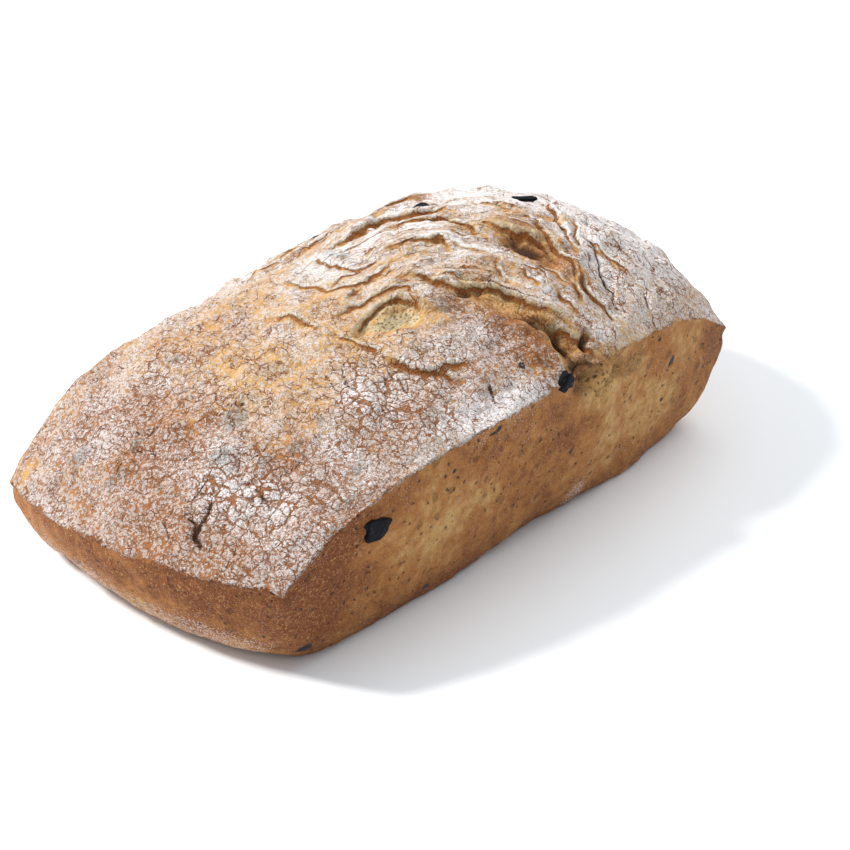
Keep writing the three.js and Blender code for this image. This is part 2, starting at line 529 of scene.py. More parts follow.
# Many of the places in FOLDS, and some in the lists after it, follow points picked by eye that a scratch
# program turned into shares. They were then nudged and added to. The sizes were set one by one.
# Each fold is its kind, path, height, reach, dip, lean, bare and gold.
FOLDS = (
    # The long laps that ring the torn middle of the loaf, from the back rim round to the front.
    Fold(LAP, ((0.0, 0.78), (0.16, 0.66), (0.3, 0.62), (0.42, 0.58), (0.5, 0.44)), 2.6, 5, 2.6, 2.2, 0.1),
    Fold(LAP, ((0.04, 0.44), (0.18, 0.42), (0.28, 0.38), (0.35, 0.26), (0.37, 0.08)), 2.8, 4, 3.0, 2.4, 0.2),
    Fold(LAP, ((0.35, -0.08), (0.35, -0.18), (0.38, -0.26), (0.42, -0.38), (0.42, -0.48), (0.4, -0.57)),
         3.2, 5, 4.2, 3.0, 0.25, 0.9),
    Fold(LAP, ((0.2, 0.3), (0.27, 0.22), (0.31, 0.08), (0.31, -0.08), (0.29, -0.22)), 2.0, 3, 2.2, 1.5, 0.3),
    Fold(LAP, ((0.08, 0.1), (0.13, 0.02), (0.17, -0.03), (0.2, -0.09), (0.18, -0.18)),
         1.8, 3, 2.2, 1.6, 0.3),
    Fold(LAP, ((-0.02, -0.13), (0.02, -0.2), (0.04, -0.3), (0.07, -0.39), (0.12, -0.46), (0.17, -0.55),
               (0.19, -0.63), (0.22, -0.7), (0.25, -0.79), (0.27, -0.87)), 2.8, 4, 3.4, 2.4, 0.35, 0.6),
    Fold(SPLIT, ((0.1, -0.36), (0.14, -0.44), (0.18, -0.53), (0.21, -0.62), (0.24, -0.7)), 1.6, 0.7),
    Fold(WELT, ((0.02, -0.5), (0.03, -0.58), (0.05, -0.66), (0.1, -0.72), (0.14, -0.77)),
         0.9, 0.8, gold=0.7),
    # The arched lip over the open pocket, and the crease behind it.
    Fold(LAP, ((-0.27, -0.25), (-0.22, -0.205), (-0.17, -0.19), (-0.11, -0.2), (-0.07, -0.26),
               (-0.055, -0.36), (-0.08, -0.43)), 2.6, 4, 4.4, 3.0, 0.8, 0.9),
    Fold(LAP, ((-0.24, -0.1), (-0.19, -0.1), (-0.14, -0.13), (-0.08, -0.15), (-0.045, -0.19), (-0.04, -0.3)),
         1.3, 3, 1.1, 0.8),
    Fold(WELT, ((0.0, -0.12), (0.05, -0.2), (0.09, -0.32), (0.14, -0.4)), 0.7, 1.0),
    # Creases between the pocket and the low end.
    Fold(LAP, ((-0.29, -0.18), (-0.27, -0.28), (-0.27, -0.37), (-0.24, -0.43)), 1.0, 2.5, 1.0, 0.7),
    Fold(LAP, ((-0.27, -0.42), (-0.265, -0.5), (-0.255, -0.58), (-0.22, -0.65), (-0.19, -0.71),
               (-0.17, -0.78)), 1.5, 3, 1.6, 1.1, 0, 0.4),
    Fold(LAP, ((-0.2, -0.68), (-0.16, -0.69), (-0.12, -0.72)), 0.9, 2, 0.9, 0.6, 0, 0.3),
    Fold(WELT, ((-0.62, -0.4), (-0.56, -0.36), (-0.5, -0.32), (-0.44, -0.34)), 0.7, 1.6, gold=0.5),
    Fold(WELT, ((-0.62, -0.57), (-0.55, -0.52), (-0.48, -0.48), (-0.42, -0.42), (-0.36, -0.4)),
         0.7, 1.5, gold=0.5),
    Fold(WELT, ((-0.47, 0.32), (-0.45, 0.26), (-0.5, 0.18), (-0.5, 0.05), (-0.53, -0.05)),
         0.7, 1.5, gold=0.5),
    Fold(WELT, ((-0.4, 0.5), (-0.25, 0.57), (-0.08, 0.57), (0.06, 0.52)), 0.8, 1.6, gold=0.5),
    Fold(LAP, ((-0.3, 0.24), (-0.29, 0.06), (-0.3, -0.14)), 0.9, 3, 0.8, 0.4, 0, 0.6),
    Fold(LAP, ((-0.16, 0.36), (-0.15, 0.16), (-0.13, 0.0), (-0.03, -0.02), (0.06, 0.0)), 1.2, 3, 1.1, 0.8),
    Fold(LAP, ((-0.02, 0.42), (-0.04, 0.26), (-0.02, 0.12), (0.04, 0.06)), 0.9, 2.5, 0.9, 0.5),
    # The torn edges either side of the gap in the front rim.
    Fold(LAP, ((0.1, -0.99), (0.13, -0.93), (0.155, -0.86), (0.165, -0.79), (0.15, -0.72), (0.1, -0.66)),
         2.0, 5, 4.5, 1.6, 0.3, 0.5),
    Fold(LAP, ((0.19, -0.74), (0.22, -0.8), (0.25, -0.86), (0.27, -0.92), (0.29, -0.99)),
         2.6, 5, 3.6, 1.8, 0.3, 0.4),
    # Slits, seams and long cracks towards the high end.
    Fold(LAP, ((0.44, -0.1), (0.5, -0.22), (0.46, -0.34), (0.44, -0.47), (0.42, -0.6), (0.36, -0.72),
               (0.31, -0.79)), 2.2, 3.5, 2.4, 1.6, 0.1, 0.3),
    Fold(LAP, ((0.7, 0.02), (0.62, -0.16), (0.56, -0.3), (0.51, -0.43), (0.47, -0.56)),
         2.3, 4, 2.8, 1.8, 0, 0.5),
    Fold(LAP, ((0.6, -0.33), (0.55, -0.43), (0.51, -0.52)), 1.3, 3, 2.2, 1.0, 0, 0.5),
    Fold(SPLIT, ((0.57, -0.46), (0.54, -0.57), (0.5, -0.68), (0.48, -0.76), (0.455, -0.85)), 1.5, 0.8),
    Fold(SPLIT, ((0.51, -0.53), (0.49, -0.62), (0.46, -0.7)), 1.0, 0.6),
    Fold(LAP, ((0.43, -0.62), (0.41, -0.7), (0.405, -0.77), (0.42, -0.83), (0.41, -0.91)),
         1.8, 3, 2.0, 1.2, 0.1, 0.3),
    Fold(LAP, ((0.3, -0.66), (0.3, -0.74), (0.31, -0.82)), 1.1, 2, 1.2, 0.7, 0, 0.3),
    Fold(LAP, ((0.385, -0.62), (0.37, -0.7), (0.34, -0.78)), 1.1, 2, 1.2, 0.7, 0, 0.3),
    Fold(SPLIT, ((0.72, -0.62), (0.725, -0.7), (0.73, -0.79)), 1.0, 0.7),
    Fold(SPLIT, ((0.75, -0.78), (0.78, -0.84)), 0.9, 0.7),
    Fold(SPLIT, ((0.59, -0.83), (0.575, -0.91), (0.565, -0.98)), 1.1, 0.8),
    Fold(SPLIT, ((0.66, -0.3), (0.63, -0.42), (0.6, -0.5)), 0.8, 0.6),
    # Fine folds on the flap between the laps.
    Fold(LAP, ((0.24, -0.36), (0.21, -0.44), (0.19, -0.48)), 0.8, 1.6, 0.9, 0.5, 0, 0.2),
    Fold(LAP, ((0.26, -0.46), (0.25, -0.54), (0.245, -0.63)), 0.8, 1.6, 0.9, 0.5, 0, 0.2),
    Fold(LAP, ((0.3, -0.52), (0.29, -0.6)), 0.7, 1.6, 0.7, 0.4, 0, 0.2),
    # Cracks in the thick flour of the low end.
    Fold(SPLIT, ((-0.895, -0.29), (-0.9, -0.36), (-0.915, -0.42), (-0.945, -0.49)), 2.6, 0.9),
    Fold(SPLIT, ((-0.9, -0.38), (-0.875, -0.39), (-0.85, -0.38), (-0.82, -0.34)), 1.6, 0.8),
    Fold(SPLIT, ((-0.87, -0.26), (-0.83, -0.285), (-0.8, -0.3), (-0.78, -0.33)), 1.1, 0.7),
    Fold(SPLIT, ((-0.77, -0.47), (-0.8, -0.54), (-0.83, -0.58)), 1.1, 0.7),
    Fold(SPLIT, ((-0.775, -0.51), (-0.79, -0.59), (-0.82, -0.67)), 1.2, 0.7),
    Fold(SPLIT, ((-0.75, -0.58), (-0.75, -0.67)), 1.0, 0.6),
    Fold(SPLIT, ((-0.72, -0.55), (-0.69, -0.6), (-0.65, -0.6)), 0.9, 0.8),
    Fold(SPLIT, ((-0.73, -0.37), (-0.69, -0.38), (-0.65, -0.42)), 0.9, 0.8),
    Fold(SPLIT, ((-0.4, -0.3), (-0.43, -0.39), (-0.44, -0.48)), 1.2, 0.8),
    Fold(SPLIT, ((-0.36, -0.36), (-0.4, -0.43), (-0.4, -0.52)), 0.9, 0.6),
    Fold(SPLIT, ((-0.78, 0.33), (-0.75, 0.23), (-0.72, 0.22), (-0.69, 0.26)), 1.2, 0.8),
    Fold(SPLIT, ((-0.67, 0.42), (-0.62, 0.44), (-0.6, 0.35)), 1.1, 0.7),
    Fold(SPLIT, ((-0.81, -0.04), (-0.77, -0.07), (-0.72, -0.07)), 0.9, 0.7),
    Fold(SPLIT, ((-0.9, -0.6), (-0.93, -0.64), (-0.97, -0.66)), 1.0, 0.7),
    Fold(SPLIT, ((-0.89, -0.2), (-0.93, -0.26), (-0.96, -0.34)), 0.9, 0.7),
    Fold(SPLIT, ((-0.3, -0.6), (-0.33, -0.7), (-0.34, -0.78)), 0.8, 0.6),
    Fold(SPLIT, ((-0.12, -0.82), (-0.14, -0.88), (-0.15, -0.93)), 1.0, 0.6),
)

FANS = (
    Fan((-0.81, 0.24), 12, 9),
    Fan((-0.81, -0.43), 13, 13),
    Fan((-0.4, -0.65), 12, 10),
    Fan((-0.62, -0.05), 10, 8),
    Fan((-0.3, -0.5), 9, 8),
)

# In the lists below, each spot is its region, place, half sizes, amount and turn.
# Torn and open hollows: the amount is the depth in millimetres.
HOLLOWS = (
    Spot(CRUST, (0.36, -0.4), 4.5, 9, 3.6, 12),
    Spot(CRUST, (-0.14, -0.31), 8, 5, 2.4, -20),
    Spot(CRUST, (0.1, -0.56), 4, 8, 1.6, 25),
    Spot(CRUST, (0.195, -0.82), 2.6, 5.5, 6.5, 12),
    Spot(CRUST, (0.15, -0.73), 2.0, 3.2, 4.0, 20),
    Spot(CRUST, (0.272, -0.895), 2.2, 1.6, 3.6, 30),
    Spot(CRUST, (0.2, -0.97), 5.0, 4.0, 4.0, 0),
    Spot(CRUST, (0.41, -0.69), 3.0, 2.2, 2.2, 30),
    Spot(CRUST, (0.3, 0.5), 8, 2.6, 2.6, -20),
    Spot(CRUST, (0.55, -0.27), 4.5, 6, 1.8, 25),
    Spot(CRUST, (0.47, -0.1), 5, 6, 1.5, 0),
    Spot(FRONT, (0.24, 0.03), 7.5, 3.6, 4.6, 0),
    Spot(FRONT, (0.36, 0.08), 2.8, 2.2, 2.4, 10),
    Spot(FRONT, (0.31, 0.14), 3.6, 1.3, 2.2, 60),
    Spot(FRONT, (0.26, 0.16), 3.2, 1.2, 2.0, 60),
    Spot(FRONT, (0.44, 0.09), 2.6, 1.4, 1.8, 20),
    Spot(FRONT, (-0.54, 0.27), 1.6, 1.2, 0.8, 0),
    Spot(FRONT, (-0.34, 0.4), 1.3, 1.2, 0.7, 0),
    Spot(FRONT, (-0.08, 0.37), 1.5, 1.1, 0.7, 0),
    Spot(FRONT, (-0.16, 0.1), 1.6, 1.3, 0.9, 0),
    Spot(FRONT, (-0.67, 0.65), 1.6, 1.4, 0.8, 0),
    Spot(FRONT, (-0.78, 0.54), 1.2, 1.0, 0.6, 0),
    Spot(FRONT, (0.27, 0.53), 1.5, 1.2, 0.7, 0),
    Spot(FRONT, (0.6, 0.3), 1.6, 1.3, 0.8, 0),
    Spot(LOW_END, (-0.3, 0.35), 1.4, 1.1, 0.5, 0),
    Spot(LOW_END, (0.4, 0.45), 1.8, 1.1, 0.6, 0),
)

# Lumps under the crust: the amount is the height in millimetres. The first are floured pieces of olive.
OLIVE_LUMPS = (
    Spot(CRUST, (-0.87, 0.52), 5, 3.6, 1.3, 20),
    Spot(CRUST, (-0.88, 0.2), 5, 3.2, 0.9, -30),
    Spot(CRUST, (-0.64, -0.52), 3.2, 2.2, 0.6, 10),
    Spot(CRUST, (-0.55, -0.52), 2.8, 1.8, 0.5, 60),
    Spot(CRUST, (-0.64, -0.15), 5.5, 4.2, 0.5, 0),
    Spot(CRUST, (-0.76, -0.33), 2.6, 1.8, 0.5, 0),
    Spot(CRUST, (-0.74, -0.24), 5, 3, 0.5, 0),
    Spot(CRUST, (-0.71, -0.45), 3.4, 2.4, 0.4, 0),
    Spot(CRUST, (-0.54, 0.44), 2.2, 4.2, 0.5, 0),
    Spot(CRUST, (-0.79, 0.23), 3.4, 2.2, 0.4, 20),
    Spot(CRUST, (0.01, 0.3), 3.0, 8, 0.6, -10),
    Spot(CRUST, (0.72, -0.02), 5, 3.2, 0.5, 20),
    Spot(CRUST, (-0.62, -0.82), 3.4, 2.4, 0.4, 20),
)

# Flat pieces of olive in the crust and walls: the amount is how black they are.
OLIVE_BITS = (
    Spot(CRUST, (0.01, -0.85), 1.6, 1.2, 1, 20),
    Spot(CRUST, (-0.87, 0.14), 1.4, 0.6, 0.9, 40),
    Spot(CRUST, (-0.755, -0.31), 0.9, 0.5, 0.9, 40),
    Spot(CRUST, (-0.655, 0.16), 0.5, 0.5, 0.8),
    Spot(CRUST, (-0.45, -0.31), 1.1, 0.8, 0.8, 30),
    Spot(CRUST, (0.235, -0.4), 0.6, 1.2, 0.7, 20),
    Spot(FRONT, (0.68, 0.18), 2.3, 1.7, 0.9, 70),
    Spot(FRONT, (0.9, 0.26), 1.8, 0.8, 0.9, 20),
    Spot(FRONT, (0.47, 0.26), 1.2, 1.0, 0.7),
    Spot(FRONT, (0.3, 0.37), 1.5, 1.0, 0.8, 30),
    Spot(FRONT, (0.16, 0.34), 1.5, 1.1, 0.8, 60),
    Spot(FRONT, (-0.12, 0.46), 1.1, 0.9, 0.7),
    Spot(FRONT, (-0.47, 0.74), 1.9, 1.3, 0.9, 20),
    Spot(FRONT, (-0.15, 0.64), 1.3, 0.8, 0.8, 30),
    Spot(FRONT, (0.21, 0.64), 1.5, 0.9, 0.8, 50),
    Spot(FRONT, (0.03, 0.52), 1.6, 1.2, 0.9, 70),
    Spot(FRONT, (0.0, 0.58), 1.2, 1.0, 0.8),
    Spot(FRONT, (-0.06, 0.5), 1.0, 0.8, 0.7),
    Spot(FRONT, (0.7, 0.56), 2.1, 0.9, 0.8, 50),
    Spot(FRONT, (0.6, 0.61), 1.3, 0.8, 0.7, 20),
    Spot(FRONT, (0.92, 0.63), 2.0, 1.0, 0.8, 30),
    Spot(FRONT, (-0.2, 0.03), 3.2, 0.9, 0.9, 12),
    Spot(FRONT, (-0.37, 0.1), 2.4, 1.2, 0.4, 20),
    Spot(FRONT, (-0.86, 0.2), 1.6, 1.0, 0.4, 20),
    Spot(FRONT, (-0.96, 0.62), 3.4, 1.6, 0.9, 20),
    Spot(FRONT, (-0.3, 0.58), 0.8, 0.7, 0.6),
    Spot(FRONT, (0.4, 0.42), 0.9, 0.7, 0.6),
    Spot(LOW_END, (0.3, 0.3), 1.3, 0.7, 0.8, 20),
    Spot(LOW_END, (-0.35, 0.25), 2.2, 0.6, 0.5, 10),
    Spot(LOW_END, (0.72, 0.4), 1.5, 0.9, 0.8, 30),
    Spot(HIGH_END, (-0.5, 0.3), 2.4, 1.5, 0.9, 20),
    Spot(HIGH_END, (0.1, 0.5), 1.8, 1.2, 0.9, 70),
    Spot(HIGH_END, (0.55, 0.25), 1.5, 1.0, 0.8, 0),
    Spot(HIGH_END, (-0.1, 0.2), 1.2, 0.8, 0.7, 40),
    Spot(BACK, (-0.55, 0.3), 2.6, 1.6, 0.9, 15),
    Spot(BACK, (-0.1, 0.2), 1.6, 1.1, 0.9, 40),
    Spot(BACK, (0.2, 0.5), 2.2, 1.2, 0.8, 75),
    Spot(BACK, (0.5, 0.3), 1.4, 1.1, 0.8, 0),
    Spot(BACK, (0.75, 0.45), 2.0, 1.1, 0.9, 30),
    Spot(BACK, (-0.8, 0.5), 1.5, 1.0, 0.8, 60),
    Spot(CRUST, (0.25, 0.82), 2.2, 1.4, 0.9, 30),
    Spot(CRUST, (-0.3, 0.8), 1.6, 1.1, 0.9, 60),
)

RINGS = Rings()

# How much flour lies over the crust: the amount is added to FLOUR_EVERYWHERE around each place.
FLOUR_EVERYWHERE = 0.68
FLOUR_AREAS = (
    Spot(CRUST, (-0.8, -0.62), 16, 16, 0.2),
    Spot(CRUST, (-0.8, -0.4), 12, 12, 0.2),
    Spot(CRUST, (-0.25, -0.93), 26, 7, 0.3),
    Spot(CRUST, (-0.05, -0.97), 16, 3.5, 0.15),
    Spot(CRUST, (-0.45, -0.66), 20, 10, 0.18),
    Spot(CRUST, (-0.4, -0.48), 7, 8, 0.25),
    Spot(CRUST, (-0.55, 0.0), 16, 20, -0.06),
    Spot(CRUST, (-0.68, -0.62), 8, 8, -0.2),
    Spot(CRUST, (-0.6, -0.46), 12, 5, -0.15),
    Spot(CRUST, (-0.48, -0.38), 14, 6, -0.1),
    Spot(CRUST, (-0.3, -0.28), 6, 10, -0.2),
    Spot(CRUST, (-0.14, -0.34), 10, 6, -0.4),
    Spot(CRUST, (-0.02, -0.46), 10, 5, -0.3),
    Spot(CRUST, (0.08, -0.86), 9, 14, -0.22),
    Spot(CRUST, (0.16, -0.78), 4, 16, -0.45),
    Spot(CRUST, (-0.1, -0.62), 12, 6, 0.14),
    Spot(CRUST, (0.1, -0.56), 6, 10, -0.5),
    Spot(CRUST, (0.36, -0.4), 8, 12, -0.5),
    Spot(CRUST, (0.33, 0.05), 7, 16, -0.2),
    Spot(CRUST, (0.06, 0.06), 20, 12, -0.12),
    Spot(CRUST, (-0.05, 0.5), 30, 8, -0.1),
    Spot(CRUST, (0.3, 0.5), 14, 4, -0.4),
    Spot(CRUST, (0.46, -0.1), 7, 10, -0.2),
    Spot(CRUST, (0.56, -0.25), 5, 9, -0.2),
    Spot(CRUST, (0.5, -0.52), 8, 18, 0.2),
    # Partly painted light: more flour at the high end, partly its own flour and partly for the light the
    # soft lamp gives it less of.
    Spot(CRUST, (0.8, -0.4), 30, 50, 0.4),
    Spot(CRUST, (0.5, 0.1), 34, 30, 0.2),
    # Partly painted shade: less flour at the near end's low corner, which is thinly floured and lies in
    # shade.
    Spot(CRUST, (-0.95, -0.62), 12, 26, -0.05),
    Spot(CRUST, (0.1, 0.35), 34, 16, 0.14),
    Spot(CRUST, (0.62, -0.62), 8, 12, -0.08),
    Spot(CRUST, (-0.9, 0.3), 14, 26, -0.06),
    Spot(CRUST, (0.28, -0.65), 8, 12, 0.14),
    Spot(CRUST, (0.35, -0.92), 10, 5, 0.1),
    Spot(CRUST, (0.5, 0.6), 40, 20, 0.1),
    # Painted light: more flour lightens the top's middle, which faces the light.
    Spot(CRUST, (0.25, 0.2), 45, 45, 0.28),
    Spot(LOW_END, (0.5, 0.45), 26, 12, 0.3),
    Spot(LOW_END, (0.0, 0.7), 50, 10, 0.45),
    Spot(LOW_END, (-0.6, 0.6), 22, 10, 0.25),
    Spot(FRONT, (0.27, 0.72), 5, 6, 0.6),
    Spot(FRONT, (0.5, 0.55), 14, 8, 0.2),
)

# Where the flour dried into plates with cracks between them: the amount is how strongly.
DRY_AREAS = (
    Spot(CRUST, (-0.82, -0.6), 20, 28, 1.0),
    Spot(CRUST, (-0.36, -0.66), 24, 20, 0.9),
    Spot(CRUST, (-0.62, 0.2), 40, 30, 0.45),
    Spot(CRUST, (0.1, -0.7), 14, 14, 0.3),
    Spot(CRUST, (0.75, -0.6), 24, 24, 0.35),
)

# Where crumb shows: the amount is how much of it.
CRUMB_AREAS = (
    Spot(FRONT, (0.29, 0.06), 13, 6, 1.0, -8),
    Spot(FRONT, (0.45, 0.1), 9, 4, 0.7, 10),
    Spot(CRUST, (-0.14, -0.31), 10, 4.5, 0.9, -30),
    Spot(CRUST, (0.1, -0.4), 5, 4, 0.6, 0),
    Spot(CRUST, (0.17, -0.8), 3, 6, 0.7, 10),
)

# Light, bare dough and dark, well baked dough on the walls: the amount is added to how baked it is.
BAKED_AREAS = (
    # Partly painted shade: darker bake at the near end's low corner, which is browner and lies in shade.
    Spot(CRUST, (-0.9, -0.7), 26, 26, 0.6),
    Spot(CRUST, (-0.8, 0.1), 34, 44, 0.55),
    Spot(FRONT, (-0.85, 0.35), 26, 22, 0.5),
    Spot(FRONT, (-0.98, 0.4), 14, 30, 0.3),
    Spot(FRONT, (-0.66, 0.2), 12, 8, -0.35),
    Spot(FRONT, (-0.45, 0.3), 20, 12, -0.2),
    Spot(FRONT, (0.14, 0.25), 9, 10, 0.3),
    Spot(FRONT, (0.3, 0.14), 10, 5, -0.7),
    Spot(FRONT, (0.45, 0.35), 16, 10, -0.3),
    Spot(FRONT, (0.75, 0.22), 12, 8, -0.2),
    Spot(FRONT, (0.92, 0.1), 12, 10, 0.5),
    Spot(FRONT, (0.3, 0.8), 40, 8, 0.25),
    Spot(FRONT, (-0.4, 0.85), 40, 9, 0.35),
    Spot(FRONT, (0.8, 0.8), 30, 8, 0.2),
    Spot(FRONT, (0.1, 0.12), 5, 4, 0.3),
    Spot(LOW_END, (0.0, 0.15), 70, 7, 0.35),
    Spot(LOW_END, (-0.6, 0.3), 16, 14, 0.25),
    # Partly painted shade: darker bake at the near end's low corner, which is browner and lies in shade.
    Spot(CRUST, (-0.86, -0.8), 26, 24, 0.4),
    Spot(CRUST, (-0.8, 0.3), 30, 40, 0.15),
    Spot(CRUST, (-0.97, 0.0), 7, 60, 0.3),
    Spot(CRUST, (-0.35, -0.82), 40, 14, 0.3),
    Spot(CRUST, (-0.67, -0.64), 10, 8, 0.35),
    Spot(CRUST, (0.06, -0.78), 14, 16, 0.35),
    Spot(CRUST, (0.36, -0.42), 8, 12, 0.3),
    Spot(CRUST, (0.8, -0.6), 26, 26, 0.15),
    Spot(CRUST, (-0.45, 0.1), 40, 30, -0.12),
    # Painted light: less bake lightens the top's middle, which faces the light.
    Spot(CRUST, (0.2, 0.2), 44, 40, -0.2),
)


# ---------------------------------------------------------------- the loaf's mesh


@dataclass
class Skin:
    """The loaf's surface as a net of points: where each lies, and where it is on the smooth form."""

    points: Array
    quads: Array
    tip: Array  # triangles that close the underside
    along: Array
    across: Array
    down: Array
    region: Array
    face_region: Array

    def normals(self) -> Array:
        """Unit normals at the points: the sum of the crossed diagonals of the quads around each."""
        corners = self.points[self.quads]
        face = np.cross(corners[:, 2] - corners[:, 0], corners[:, 3] - corners[:, 1])
        total = np.zeros_like(self.points)
        for axis in range(3):
            spread = np.repeat(face[:, axis], 4)
            total[:, axis] = np.bincount(self.quads.ravel(), spread, len(self.points))
        return total / np.maximum(np.linalg.norm(total, axis=1, keepdims=True), 1e-9)


@dataclass
class Loaf:
    """The whole loaf. It builds a net over the smooth form, breaks it up and marks what each part wears."""

    form: LoafForm
    cells_along: int = 340
    cells_across: int = 184
    wall_rows: int = 27
    base_rows: int = 5
    row_power: float = 1.5  # crowds the walls' rows towards the rim
    corner_softness: float = 8  # millimetres over which the walls' corners are rounded
    fine_along: Pair = (-0.3, 0.7)  # the stretch with smaller cells
    fine_across: Pair = (-1.2, 0.7)
    crowding: Pair = (0.8, 0.4)  # along and across
    skin: Skin = field(init=False)
    rest: Array = field(init=False)  # the net on the smooth form
    normal: Array = field(init=False)
    flow: Array = field(init=False)  # coordinates that run along the rings
    torn: Array = field(init=False)
    marks: dict[str, Array] = field(init=False, default_factory=dict)

    def build(self) -> bpy.types.Object:
        """Makes the loaf's object, with its marks and its map.

        Returns:
            The object.
        """
        self.skin = self.net()
        self.rest = self.skin.points.copy()
        self.normal = self.skin.normals()
        self.shape_crust()
        self.shape_walls()
        self.shape_spots()
        self.mark_flour()
        self.mark_baked()
        self.skin.points[:, 2] = np.maximum(self.skin.points[:, 2], 0)
        return self.write()

    @staticmethod
    def shares(cells: int, low: float, high: float, crowding: float) -> Array:
        """Divides -1 to 1 into cells, set closer together between two shares.

        The cells' density is 1 plus crowding times a smooth hump over the stretch; the shares are where
        the running total of the density passes whole steps.

        Args:
            cells: how many cells.
            low, high: the stretch with smaller cells.
            crowding: how much denser the cells are there.

        Returns:
            The cells' ends, cells + 1 of them.
        """
        fine = np.linspace(-1, 1, 4001)
        hump = smooth_step(low - 0.1, low + 0.1, fine) * smooth_step(high + 0.1, high - 0.1, fine)
        total = np.cumsum(1 + crowding * hump)
        total = (total - total[0]) / (total[-1] - total[0])
        return np.interp(np.linspace(0, 1, cells + 1), total, fine)

    def net(self) -> Skin:
        """Lays the net: a grid over the crust, rows round the walls, and rings that close underneath.

        The rows below the rim are blurred along their length, by a bell curve that widens down the
        wall, so that the walls' corners are rounder than the rim's.

        Returns:
            The net on the smooth form.
        """
        nu, nv = self.cells_along, self.cells_across
        u, v = np.meshgrid(
            self.shares(nu, *self.fine_along, self.crowding[0]),
            self.shares(nv, *self.fine_across, self.crowding[1]),
        )
        index = np.arange(u.size).reshape(u.shape)
        loop = np.concatenate([index[0, :-1], index[:-1, -1], index[-1, :0:-1], index[:0:-1, 0]])
        sides = np.repeat([0, 1, 2, 3], [nu, nv, nu, nv])
        lu, lv = u.ravel()[loop], v.ravel()[loop]
        count = len(loop)

        down = np.linspace(0, 1, self.wall_rows + 1) ** self.row_power
        rows = np.stack([self.form.wall(lu, lv, np.full(count, d)) for d in down])
        step = 2 * (self.form.half_length + self.form.half_width) * 2 / count
        spread = self.corner_softness / step * smooth_step(0.08, 0.8, down)[:, None, None]
        pitch = np.fft.fftfreq(count)[None, :, None]
        rows = np.fft.ifft(
            np.fft.fft(rows, axis=1) * np.exp(-2 * (math.pi * pitch * spread) ** 2), axis=1
        ).real
        shrink = np.linspace(1, 0, self.base_rows + 2)[1:-1]
        rings = rows[-1][None] * shrink[:, None, None]
        crust = self.form.crust(u.ravel(), v.ravel())
        points = np.vstack([crust, rows[1:].reshape(-1, 3), rings.reshape(-1, 3), [[0, 0, 0]]])

        body_rows = self.wall_rows + self.base_rows
        lower = len(crust) + np.arange(body_rows * count).reshape(body_rows, count)
        rows_index = np.vstack([loop, lower])
        ahead = np.roll(rows_index, -1, axis=1)
        strips = np.stack([rows_index[1:], ahead[1:], ahead[:-1], rows_index[:-1]], -1).reshape(-1, 4)
        top = np.stack([index[:-1, :-1], index[:-1, 1:], index[1:, 1:], index[1:, :-1]], -1).reshape(-1, 4)
        pole = np.full(count, len(points) - 1)
        tip = np.stack([pole, ahead[-1], rows_index[-1]], -1)

        under = np.full(self.base_rows * count + 1, Region.UNDERSIDE.value)
        region = np.concatenate(
            [np.full(u.size, CRUST.value), np.tile(sides, self.wall_rows), under]
        )
        wall_faces = np.tile(sides, self.wall_rows)
        base_faces = np.full((self.base_rows + 1) * count, Region.UNDERSIDE.value)
        return Skin(
            points=points,
            quads=np.vstack([top, strips]),
            tip=tip,
            along=np.concatenate([u.ravel(), np.tile(lu, body_rows), [0]]),
            across=np.concatenate([v.ravel(), np.tile(lv, body_rows), [0]]),
            down=np.concatenate(
                [np.zeros(u.size), np.repeat(down[1:], count), np.ones(self.base_rows * count + 1)]
            ),
            region=region,
            face_region=np.concatenate([np.full(len(top), CRUST.value), wall_faces, base_faces]),
        )

    def shape_crust(self) -> None:
        """Breaks up the crust: slow swells, wrinkles along the folds' run, and then each fold in turn."""
        skin, rest = self.skin, self.rest
        on_crust = skin.region == CRUST.value
        rim_gap = (1 - np.maximum(np.abs(skin.along), np.abs(skin.across))) * self.form.half_width
        inside = smooth_step(0, 5, rim_gap) * on_crust
        swell = sum(
            high * np.sin(run * skin.along + cross * skin.across + shift)
            for high, run, cross, shift in SWELLS
        )
        lumps = lumpy(rest, CRUST_LUMPS)

        # The torn middle is wrinkled along rings about a point near the front rim.
        centre = self.form.place(CRUST, RINGS.centre)[:2]
        offset = (rest[:, :2] - centre) * (1, RINGS.squash)
        ring = np.hypot(offset[:, 0], offset[:, 1])
        sweep = np.arctan2(offset[:, 1], offset[:, 0]) * ring
        self.flow = np.column_stack([ring, sweep * FLOW_SQUEEZE, np.zeros(len(ring))])
        torn = np.exp(-(((skin.along - TORN_MIDDLE) / TORN_REACH) ** 4))
        torn = torn * smooth_step(*TORN_FRONT, skin.across) * on_crust
        bent_flow = self.flow + 1.2 * np.column_stack([lumps, lumps, lumps])
        wrinkle = rough(bent_flow, 4.6, 3, 41) + 0.8 * (0.5 - 2 * np.abs(rough(bent_flow, 3.4, 2, 47)))
        self.torn = torn
        self.marks["torn"] = torn * inside

        points = rest + self.normal * (swell * inside)[:, None]
        for name in ("gold", "shade_and_char", "crumb", "near"):
            self.marks[name] = np.zeros(len(points))
        for name in ("lap", "split"):
            self.marks[name] = np.full(len(points), FAR)
        crust_ids = np.flatnonzero(on_crust)
        jitter = 1.1 * np.column_stack([rough(rest, 5, 3, 61), rough(rest, 5, 3, 67)])
        for fold in (*self.wrinkles(), *FOLDS, *self.fans()):
            self.break_fold(fold, points, crust_ids, jitter)
        self.ease(points, rounds=2)
        lift = lumps * (0.35 + 0.65 * inside) * on_crust + 0.6 * torn * inside * wrinkle
        skin.points[:] = points + self.normal * lift[:, None]

